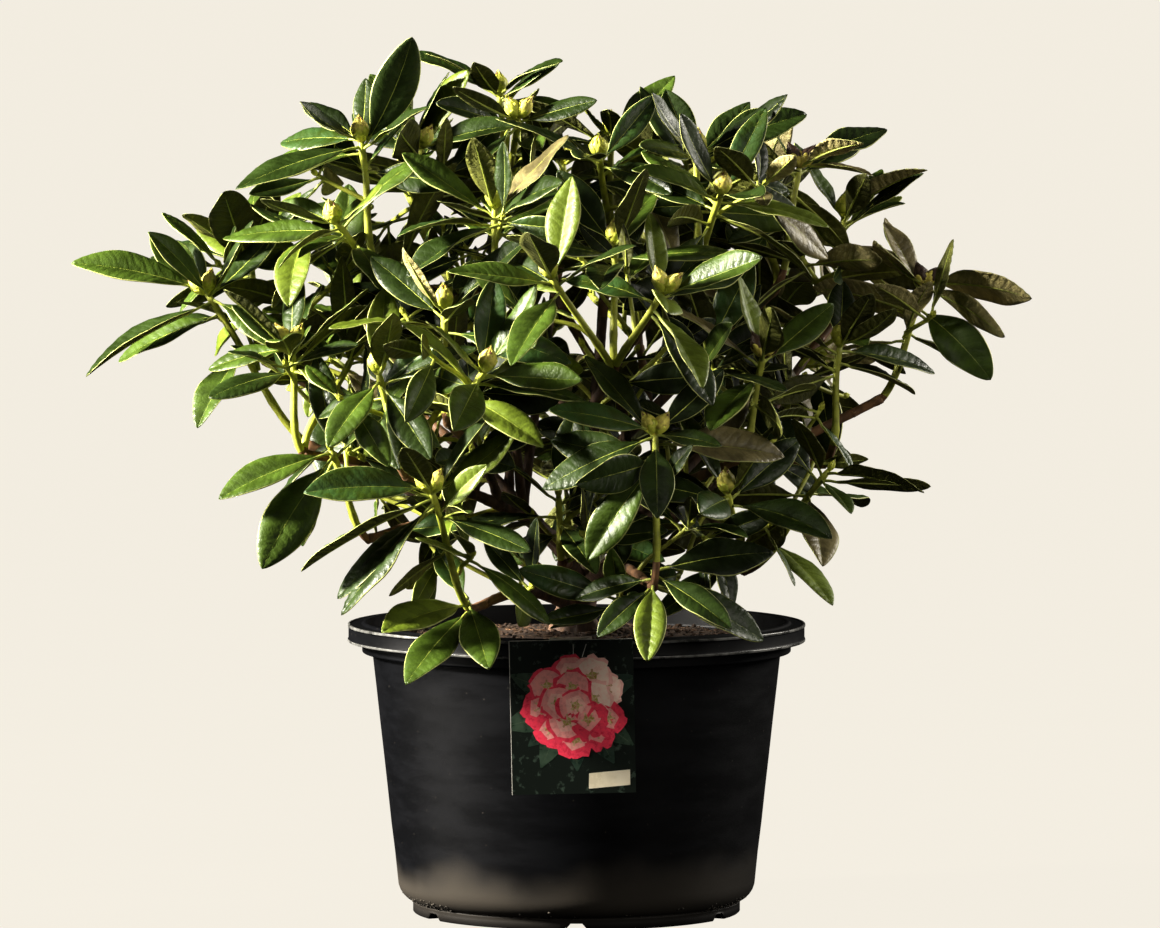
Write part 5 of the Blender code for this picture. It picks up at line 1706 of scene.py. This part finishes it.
def blade_points(leaf, rng, steady, turn):
    """The points of one leaf: its upper side with sunken veins, its underside, its tip, stalk and rib."""
    half = leaf.width * rng.uniform(0.44 if steady else 0.40, 0.49)
    twist = rng.uniform(-0.6, 0.6) * (0.3 if steady else 1.0)
    fold = rng.uniform(0.10, 0.48)
    curl = rng.uniform(0.05, 0.30)
    blunt = rng.uniform(0.66, 0.86)
    wave = rng.uniform(0.02, 0.11)
    phase = rng.uniform(0, 6.28)
    puff = rng.uniform(0.7, 1.4) * 0.001 * leaf.length / 0.095
    own_place = np.array([0.0, rng.uniform(0, 5)])
    even = np.arange(BLADE_ROWS) / BLADE_ROWS
    s = (0.72 * even + 0.28 * (0.5 - 0.5 * np.cos(np.pi * even)))[:, None]
    vein = np.where(np.arange(BLADE_ROWS) % 2 == 0, -0.5, 0.5)[:, None]

    def surface(columns, thick, relief):
        t = np.abs(columns)[None, :]
        u = s + 0.12 * t * 4 * s * (1 - s)
        power = blunt + (0.90 - blunt) * np.clip(1 - 2.2 * u, 0, 1)
        width = np.maximum(np.sin(np.pi * np.clip(u, 0, 1) ** 1.05) ** power, 0.07)
        width = np.where(s == 0, 0.07, width)
        bump = (4 * t * (1 - t)) ** 0.8
        ripple = wave * half * t**2 * np.sin(11 * u + phase + 1.9 * np.sign(columns)[None, :])
        lift = (fold * t - curl * t**4) * half * width + ripple * width
        lift = lift + relief * puff * vein * bump * np.minimum(1, 5 * s)
        lift = lift - 0.0003 * (t > 0.99) - 0.00045 * (t == 0) * (1 - u) * (relief > 0.9) - thick
        places, side, upward = leaf_frames(leaf, STALK_SHARE + (1 - STALK_SHARE) * u, twist, turn)
        across = columns[None, :] * half * width
        marks = np.stack([across, leaf.length * u], -1) + own_place
        points = places + side * across[..., None] + upward * lift[..., None]
        return points.reshape(-1, 3), marks.reshape(-1, 2)

    top, top_marks = surface(TOP_COLUMNS, 0.0, 1.0)
    under, under_marks = surface(UNDER_COLUMNS, 0.0005, 0.7)
    tip = leaf_frames(leaf, np.array([1.0]), twist, turn)[0]
    places, side, upward = leaf_frames(leaf, RIB_SHARES, twist, turn)
    turns = (np.arange(RIB_SIDES) * 2 * pi / RIB_SIDES + pi / 2)[None, :, None]
    sunk = np.clip((RIB_SHARES - 0.09) / 0.08, 0, 1) * (RIB_RADII * 0.98)
    centre = places - upward * sunk[:, None]
    centre[0] -= np.array(leaf.direction) * 0.0016
    radii = RIB_RADII[:, None, None]
    rib = centre[:, None, :] + side[:, None, :] * (np.cos(turns) * -radii)
    rib = (rib + upward[:, None, :] * (np.sin(turns) * radii)).reshape(-1, 3)
    rest = np.tile(own_place, (1 + len(rib), 1))
    return np.concatenate([top, under, tip, rib]), np.concatenate([top_marks, under_marks, rest])


def leaf_place(leaf):
    """The part of the crown that a leaf grows in, which decides its tints as painted light and shade."""
    from_centre = leaf.base + leaf.direction * leaf.length * 0.5 - CROWN_CENTRE
    if Vector(a / b for a, b in zip(from_centre, CROWN_RADII)).length < INNER_SHARE:
        return "inner"
    x, _, z = leaf.base
    if z < LOW_BELOW and x < FAR_FROM:
        return "low" if x < LOW_LEFT_OF else "deep"
    if x > SHADED_SIDE_FROM:
        return "far" if x > FAR_FROM else "shaded"
    return "deep" if z > DARK_ABOVE else "sunny"


def leaf_sheaf(names, leaves):
    """The leaves of some masses, each with one of the greens above and one of the tints below."""
    sheaf = Sheaf()
    faces, kinds = blade_pattern()
    for name in names:
        rng = random.Random(f"{SEED} blades {name}")
        turned = TURNED_LEAVES.get(name, ())
        for index, leaf in enumerate(leaves[name]):
            turn = radians(turned[index]) if index < len(turned) else 0.0
            if leaf.base.x > SHADED_SIDE_FROM and index >= len(turned):
                turn = -rng.uniform(0, SHADED_TURN) * leaf.direction.x
            above, below = SHARES[leaf_place(leaf)]
            shades = {TOP: rng.choices(UPPER_SLOTS, weights=above)[0], MARGIN: 4, RIB: 7}
            shades[UNDER] = rng.choices(UNDER_SLOTS, weights=below)[0]
            points, marks = blade_points(leaf, rng, index < len(PLACED_LEAVES.get(name, ())), turn)
            sheaf.add(points, faces, [shades[kind] for kind in kinds], marks)
    return sheaf


# Sizes and colours that a user would change


def colour(label, text, value):
    looks = {"subtype": "COLOR", "size": 3, "min": 0, "max": 1}
    return FloatVectorProperty(name=label, description=text, default=value, **looks)


def number(label, text, value, most, least=0):
    return IntProperty(name=label, description=text, default=value, min=least, max=most)


def power(label, text, value):
    return FloatProperty(name=label, description="Power of the light " + text, default=value, unit="POWER")


class PotSettings(bpy.types.PropertyGroup):
    plastic: colour("Plastic", "Colour of the pot's plastic", (0.0016, 0.0018, 0.0026))
    dust: colour("Mud", "Colour of the dried mud on the pot", (0.050, 0.043, 0.034))
    dust_amount: FloatProperty(name="Dust", description="How thick it lies", default=0.85, min=0, max=1)
    # The rim's two beads are painted lighter than the plastic, a painted highlight where light catches them.
    rim_highlight: colour("Worn edge", "Colour of the rim's rubbed edges", (0.190, 0.190, 0.180))
    steps: number("Steps", "Flat faces round the pot", 180, 360, 24)


class SoilSettings(bpy.types.PropertyGroup):
    dark: colour("Peat", "Colour of the moist peat", (0.020, 0.011, 0.006))
    light: colour("Bark chips", "Colour of the dry bark chips", (0.115, 0.062, 0.030))
    crumbs: number("Crumbs", "Loose crumbs and chips", 1700, 5000)


class TagSettings(bpy.types.PropertyGroup):
    ground: colour("Ground", "The print's dark background", (0.0075, 0.0115, 0.0085))
    pale: colour("Pale petals", "The palest petals of the print", (1.0, 0.68, 0.58))
    deep: colour("Deep petals", "The deepest petals of the print", (0.90, 0.060, 0.120))


class LimbSettings(bpy.types.PropertyGroup):
    bark: colour("Bark", "Colour of the older bark", (0.150, 0.088, 0.054))
    young: colour("Young bark", "Colour of the bark near the shoots", (0.225, 0.118, 0.054))
    shoot: colour("Shoot", "Colour of the green shoots", (0.560, 0.600, 0.085))


class LeafSettings(bpy.types.PropertyGroup):
    deep: colour("Deep green", "The darkest leaves", (0.022, 0.041, 0.005))
    middle: colour("Middle green", "Most of the leaves", (0.054, 0.092, 0.009))
    fresh: colour("Fresh green", "The lightest leaves", (0.135, 0.185, 0.018))
    # Dusky and bronze are brownish tints of the shaded side, made brighter than that side's light as painted
    # light.
    dusky: colour("Dusky green", "Brownish leaves of the shaded side", (0.190, 0.162, 0.070))
    under: colour("Underside", "The leaves' underside", (0.170, 0.180, 0.034))
    rib: colour("Rib", "The stalk and the midrib", (0.400, 0.450, 0.085))
    # The margin's colour is partly the edge's own paler tone and partly a painted highlight where light
    # catches the rolled edge.
    margin: colour("Margin", "The leaves' thin pale edge", (0.540, 0.570, 0.190))
    bronze: colour("Bronze", "The underside on the shaded side", (0.560, 0.490, 0.215))
    side_twigs: number("Side twigs", "Fine twigs on each shoot", 1, 3)
    inner_twigs: number("Inner twigs", "Fine twigs on each bough", 3, 6)
    tip_leaves: number("Tip leaves", "More leaves below each bud", 3, 6)
    old_leaves: number("Old leaves", "Leaves along each shoot", 3, 8)
    twig_leaves: number("Twig leaves", "Leaves on each side twig", 5, 9)


class BudSettings(bpy.types.PropertyGroup):
    cream: colour("Cream", "Most of the flower buds", (0.880, 0.800, 0.170))
    green: colour("Green", "The scales at a bud's foot", (0.640, 0.680, 0.080))
    brown: colour("Brown", "The scales' tips", (0.300, 0.160, 0.070))
    # The dark tint is painted shade, for the buds on the shaded right side.
    dark: colour("Dark", "Buds on the shaded side", (0.080, 0.044, 0.026))


class StageSettings(bpy.types.PropertyGroup):
    floor: colour("Floor", "Colour of the floor and backdrop", (0.9045, 0.8616, 0.7750))
    glow: FloatProperty(name="Glow", description="Light that the backdrop gives", default=1.0, min=0, max=2)
    key: power("Key light", "at the left", 690.0)
    top: power("Top light", "overhead", 8.0)
    side: power("Side light", "low at the side", 30.0)
    back: power("Back light", "behind", 110.0)
    fill: power("Fill light", "at the right", 34.0)
    contrast: FloatProperty(name="Gamma", description="Below 1 for deeper shade", default=0.88, min=0.5)
    lens: FloatProperty(name="Lens", description="Focal length of the camera", default=224.9, unit="CAMERA")


def shrub_of(context):
    """The plant, grown to the counts that the user has set."""
    own = context.scene.shrub_leaves
    return grown_plant(own.side_twigs, own.inner_twigs, own.tip_leaves, own.old_leaves, own.twig_leaves)


def nodes_of(kind, names=BOUGHS):
    """The solids of one kind that go by some boughs' names."""
    return [kind + "_" + name for name in names]


class SHRUB_OT_pot(bpy.types.Operator):
    """Build the nursery pot, with its banded rim, notched foot and film of dried mud"""

    bl_idname = "shrub.pot"
    bl_label = "Pot"

    def execute(self, context):
        own = context.scene.shrub_pot
        plastic = toned(
            "pot_plastic", own.plastic, 0.75, 1.35, (0.42, 0.50), 16.0, (1, 1, 4), (900.0, 0.16), gloss=0.17,
        )
        dusted(
            plastic, own.dust, 0.85, Foot=-0.012, Top=0.020, Clean=0.022, Side=(-0.45, -0.85, 0.0),
            Amount=own.dust_amount, Specks=0.5,
        )
        # A lighter plastic on the rim's two beads, as a painted highlight.
        rim_highlight = toned("worn_edge", own.rim_highlight, 0.25, 1.0, (0.25, 0.40), 70.0, grain=(900.0, 0.2))
        pot = Sheaf()
        points, faces = lathe(pot_profile(), own.steps, pot_shift)
        pot.add(points, faces, [int(on_bead([points[i] for i in face])) for face in faces])
        pot.settle("pot_shell", [plastic, rim_highlight], "pot_plastic", ["pot"])
        mud = toned("dried_mud", own.dust, 0.5, 1.6, (0.85, 1.0), 200.0)
        mud_scraps(170).settle("pot_mud_scraps", [mud], "pot_plastic", ["pot"])
        return {"FINISHED"}


class SHRUB_OT_soil(bpy.types.Operator):
    """Build the mound of potting mix, with its loose crumbs, chips and fibres"""

    bl_idname = "shrub.soil"
    bl_label = "Soil"

    def execute(self, context):
        own = context.scene.shrub_soil
        peat = finish("peat", own.dark, scaled(own.light, 0.6), (0.85, 1.0), 160.0, grain=(700.0, 0.8))
        chip = toned("bark_chip", own.light, 0.5, 1.0, (0.75, 0.95), 300.0, grain=(900.0, 0.6))
        dark = finish("dark_chip", own.dark, scaled(own.light, 0.55), (0.8, 1.0), 300.0, grain=(900.0, 0.6))
        fibre = toned("dry_fibre", own.light, 1.3, 2.6, (0.7, 0.9), 250.0)
        edge = inner_radius(SOIL_EDGE) - SEAT_GAP
        floor = FLOOR_TOP + SEAT_GAP
        heel = FLOOR_TOP + HEEL_RADIUS
        profile = [
            (0.0, soil_height(0.0)),
            *[(edge * i / SOIL_RINGS, 0.0) for i in range(1, SOIL_RINGS + 1)],
            (inner_radius(heel) - 2 * SEAT_GAP, heel),
            (inner_radius(FLOOR_TOP) - HEEL_RADIUS * 0.6 - 3 * SEAT_GAP, floor),
            (0.0, floor),
        ]

        def shift(radius, height, turn):
            return radius, (soil_top(radius, turn) if height == 0.0 else height)

        bed = Sheaf()
        bed.add(*lathe(profile, 200, shift))
        bed.settle("soil_bed", [peat], "soil", ["soil"])
        soil_crumbs(own.crumbs).settle("soil_crumbs", [dark, peat, chip, fibre], "soil", ["soil"], False)
        return {"FINISHED"}


class SHRUB_OT_tag(bpy.types.Operator):
    """Build the picture tag: a card hooked over the rim, with a plain print of flowers"""

    bl_idname = "shrub.tag"
    bl_label = "Picture tag"

    def execute(self, context):
        own = context.scene.shrub_tag
        rose = between(own.deep, own.pale, 0.55)
        blush = between(own.deep, own.pale, 0.8)
        prints = (
            ("print_ground", own.ground, scaled(own.ground, 9.0), 120.0, 0.56, 0.74),
            ("card_edge", (0.60, 0.58, 0.52), (0.72, 0.70, 0.64), 80.0),
            ("print_pale", own.pale, scaled(own.pale, 1.15), 300.0),
            ("print_blush", scaled(blush, 0.9), blush, 300.0),
            ("print_rose", scaled(rose, 0.85), rose, 300.0),
            ("print_crimson", scaled(own.deep, 0.8), own.deep, 300.0),
            ("print_throat", (0.38, 0.30, 0.07), (0.55, 0.46, 0.14), 300.0),
            ("print_stamen", (0.55, 0.30, 0.16), (0.75, 0.55, 0.35), 300.0),
            ("print_leaf", (0.018, 0.036, 0.022), (0.045, 0.075, 0.048), 120.0),
            ("print_rib", (0.10, 0.14, 0.09), (0.14, 0.18, 0.11), 200.0),
            ("print_dark_leaf", (0.012, 0.026, 0.018), (0.026, 0.050, 0.034), 120.0),
            ("print_plate", (0.60, 0.54, 0.40), (0.70, 0.64, 0.50), 60.0),
        )
        ink = {"grain": (300.0, 0.04), "coat": 0.5}
        inks = []
        for name, dark, light, scale, *spots in prints:
            spots = dict(zip(("low", "high"), spots))
            inks.append(finish(name, dark, light, (0.26, 0.36), scale, **ink, **spots))
        tag_sheaf().settle("tag_card", inks, "tag_card", ["tag"], False)
        return {"FINISHED"}


class SHRUB_OT_limbs(bpy.types.Operator):
    """Build the trunk and the boughs, with the bark's relief"""

    bl_idname = "shrub.limbs"
    bl_label = "Trunk and boughs"

    def execute(self, context):
        own = context.scene.shrub_limbs
        upright = (1, 1, 0.3)
        old = toned("old_bark", own.bark, 0.35, 1.0, (0.75, 0.95), 150.0, upright, (500.0, 0.8))
        young = toned("young_bark", own.young, 0.5, 1.0, (0.6, 0.8), 150.0, upright, (500.0, 0.5))
        bark = limb_sheaf(shrub_of(context).limbs)
        bark.settle("trunk_and_boughs", [old, young], "bark", ["trunk", *nodes_of("bough")])
        return {"FINISHED"}


class SHRUB_OT_shoots(bpy.types.Operator):
    """Build the stems, green shoots and side twigs of every mass of foliage"""

    bl_idname = "shrub.shoots"
    bl_label = "Shoots and twigs"

    def execute(self, context):
        own = context.scene.shrub_limbs
        green = toned("shoot_green", own.shoot, 0.7, 1.0, (0.42, 0.58), 120.0, grain=(500.0, 0.3))
        # A darker copy of the shoot green: painted shade on the right side's shoots, and a random tone on
        # the twigs.
        olive_shade = toned("shoot_olive", own.shoot, 0.5, 0.8, (0.45, 0.6), 120.0, grain=(500.0, 0.3))
        brown = toned("shoot_brown", own.young, 0.6, 1.2, (0.6, 0.8), 150.0)
        shoots = shoot_sheaf(shrub_of(context))
        shoots.settle("shoots", [green, olive_shade, brown], "foliage", nodes_of("mass"))
        return {"FINISHED"}


class SHRUB_OT_buds(bpy.types.Operator):
    """Build the scaly flower buds and the small leaf buds"""

    bl_idname = "shrub.buds"
    bl_label = "Buds"

    def execute(self, context):
        own = context.scene.shrub_buds
        tints = (
            ("bud_cream", scaled(own.cream, 0.75), own.cream),
            ("bud_green", scaled(own.green, 0.7), own.green),
            ("bud_brown", scaled(own.brown, 0.6), own.brown),
            ("bud_lime", own.green, between(own.green, own.cream)),
            ("bud_tan", between(own.brown, own.cream), own.cream),
            ("bud_dark", scaled(own.dark, 0.6), own.dark),
        )
        materials = [finish(*row, (0.45, 0.62), 260.0) for row in tints]
        bud_sheaf(shrub_of(context)).settle("buds", materials, "foliage", nodes_of("mass"))
        return {"FINISHED"}


class SHRUB_OT_leaves(bpy.types.Operator):
    """Build the leaves, each a closed blade with sunken veins darkened as painted shade, a pale rib and a
    thin pale margin that is partly painted highlight
    """

    bl_idname = "shrub.leaves"
    bl_label = "Leaves"

    def execute(self, context):
        own = context.scene.shrub_leaves
        glossy = {"grain": (420.0, 0.45), "coat": 0.08, "gloss": 0.34}
        dull = {"gloss": 0.36}
        bluish = finish(
            "leaf_bluish", scaled(own.middle, 0.6), (0.040, 0.088, 0.020), (0.34, 0.48), 55.0, **glossy,
        )
        materials = [
            toned("leaf_deep", own.deep, 0.7, 1.3, (0.36, 0.50), 55.0, **glossy),
            toned("leaf_middle", own.middle, 0.7, 1.3, (0.38, 0.52), 55.0, **glossy),
            toned("leaf_fresh", own.fresh, 0.7, 1.2, (0.40, 0.54), 55.0, **glossy),
            bluish,
            # The pale margin: partly its own paler tone, partly painted highlight.
            toned("leaf_margin", own.margin, 0.8, 1.0, (0.40, 0.55), 200.0),
            toned("leaf_under", own.under, 0.65, 1.0, (0.60, 0.75), 70.0, **dull),
            # A darker copy of the underside: a duller tone at random, and painted shade for the inner
            # leaves, which mostly take it.
            toned("leaf_under_dull", own.under, 0.30, 0.55, (0.6, 0.75), 70.0, **dull),
            toned("leaf_rib", own.rib, 0.8, 1.15, (0.40, 0.55), 150.0),
            # Bronze and dusky: brownish tints of the shaded side, made brighter as painted light.
            toned("leaf_under_bronze", own.bronze, 0.6, 1.0, (0.55, 0.7), 70.0, **dull),
            toned("leaf_dusky", own.dusky, 0.6, 1.3, (0.40, 0.52), 55.0, **glossy),
            # A much darker copy of the deep green, as painted shade for the leaves deep inside the crown.
            toned("leaf_inner", own.deep, 0.3, 0.6, (0.46, 0.60), 55.0, gloss=0.2),
        ]
        # Each green and underside gets veins, its colour darkened along them to 0.84 and 0.80 as painted
        # shade.
        for slots, strength, shade in ((UPPER_SLOTS, 0.17, 0.84), (UNDER_SLOTS, 0.45, 0.80)):
            for slot in slots:
                veined(materials[slot], strength, shade)
        names = list(BOUGHS)
        share = ceil(len(names) / LEAF_PIECES)
        for i in range(LEAF_PIECES):
            group = names[i * share : (i + 1) * share]
            piece = leaf_sheaf(group, shrub_of(context).leaves)
            piece.settle(f"leaves_{i + 1}", materials, "foliage", nodes_of("mass", group))
        return {"FINISHED"}


class SHRUB_OT_stage(bpy.types.Operator):
    """Build the floor, the backdrop, the lights and the camera"""

    bl_idname = "shrub.stage"
    bl_label = "Stage"

    def execute(self, context):
        own = context.scene.shrub_stage
        scene = context.scene
        sweep = Sheaf()
        turns = [radians(step) for step in range(0, 91, 10)]
        bend = [
            (STAGE_RADIUS - STAGE_BEND * (1 - sin(turn)), STAGE_BEND * (1 - cos(turn)) - STAGE_DROP)
            for turn in turns
        ]
        outer = STAGE_RADIUS + STAGE_THICKNESS
        wall = [(STAGE_RADIUS, STAGE_HEIGHT), (outer, STAGE_HEIGHT), (outer, -STAGE_THICKNESS)]
        sweep.add(*lathe([(0.0, -STAGE_DROP), *bend, *wall, (0.0, -STAGE_THICKNESS)], 96))
        paper = toned("backdrop_paper", own.floor, 0.004, 0.005, (0.9, 0.95), 3.0, gloss=0.0)
        shader = paper.node_tree.nodes["Principled BSDF"]
        shader.inputs["Emission Color"].default_value = (*own.floor, 1.0)
        shader.inputs["Emission Strength"].default_value = own.glow
        floor = sweep.build("floor_sweep", [paper])
        floor.visible_diffuse = False
        floor.visible_glossy = False
        world = bpy.data.worlds.new("studio")
        world.use_nodes = True
        air = world.node_tree.nodes["Background"]
        air.inputs["Color"].default_value = (1.0, 0.97, 0.92, 1.0)
        air.inputs["Strength"].default_value = 0.016
        scene.world = world
        target = Vector((0.0, 0.0, 0.42))
        for name, place, size in LAMPS:
            lamp = bpy.data.lights.new(name + "_light", "AREA")
            lamp.shape = "DISK"
            lamp.size = size
            lamp.energy = getattr(own, name)
            lamp.color = (1.0, 0.95, 0.86)
            thing = bpy.data.objects.new(name + "_light", lamp)
            thing.location = place
            thing.visible_camera = False
            thing.rotation_euler = (target - Vector(place)).to_track_quat("-Z", "Y").to_euler()
            scene.collection.objects.link(thing)
        camera = bpy.data.cameras.new("camera")
        camera.lens = own.lens
        camera.sensor_width = 36.0
        camera.clip_end = 60.0
        view = bpy.data.objects.new("camera", camera)
        view.location = EYE
        view.rotation_euler = (CAMERA_PITCH, 0.0, 0.0)
        scene.collection.objects.link(view)
        scene.camera = view
        scene.view_settings.view_transform = "Standard"
        scene.view_settings.gamma = own.contrast
        return {"FINISHED"}


PIECES = ("pot", "soil", "tag", "limbs", "shoots", "buds", "leaves", "stage")
SETTINGS = {
    "shrub_pot": PotSettings,
    "shrub_soil": SoilSettings,
    "shrub_tag": TagSettings,
    "shrub_limbs": LimbSettings,
    "shrub_leaves": LeafSettings,
    "shrub_buds": BudSettings,
    "shrub_stage": StageSettings,
}


class SHRUB_PT_sidebar(bpy.types.Panel):
    """The settings and the buttons that build each piece"""

    bl_idname = "SHRUB_PT_sidebar"
    bl_label = "Potted Rhododendron"
    bl_space_type = "VIEW_3D"
    bl_region_type = "UI"
    bl_category = "Shrub"

    def draw(self, context):
        for label in SETTINGS:
            box = self.layout.box()
            group = getattr(context.scene, label)
            for key in group.bl_rna.properties.keys():
                if key not in ("rna_type", "name"):
                    box.prop(group, key)
        for piece in PIECES:
            self.layout.operator("shrub." + piece)


CLASSES = (
    *SETTINGS.values(),
    SHRUB_OT_pot,
    SHRUB_OT_soil,
    SHRUB_OT_tag,
    SHRUB_OT_limbs,
    SHRUB_OT_shoots,
    SHRUB_OT_buds,
    SHRUB_OT_leaves,
    SHRUB_OT_stage,
    SHRUB_PT_sidebar,
)


def register():
    for kind in CLASSES:
        bpy.utils.register_class(kind)
    for label, kind in SETTINGS.items():
        setattr(bpy.types.Scene, label, PointerProperty(type=kind))


def unregister():
    for label in SETTINGS:
        delattr(bpy.types.Scene, label)
    for kind in reversed(CLASSES):
        bpy.utils.unregister_class(kind)


def main():
    register()
    for piece in PIECES:
        getattr(bpy.ops.shrub, piece)()


if __name__ == "__main__":
    main()
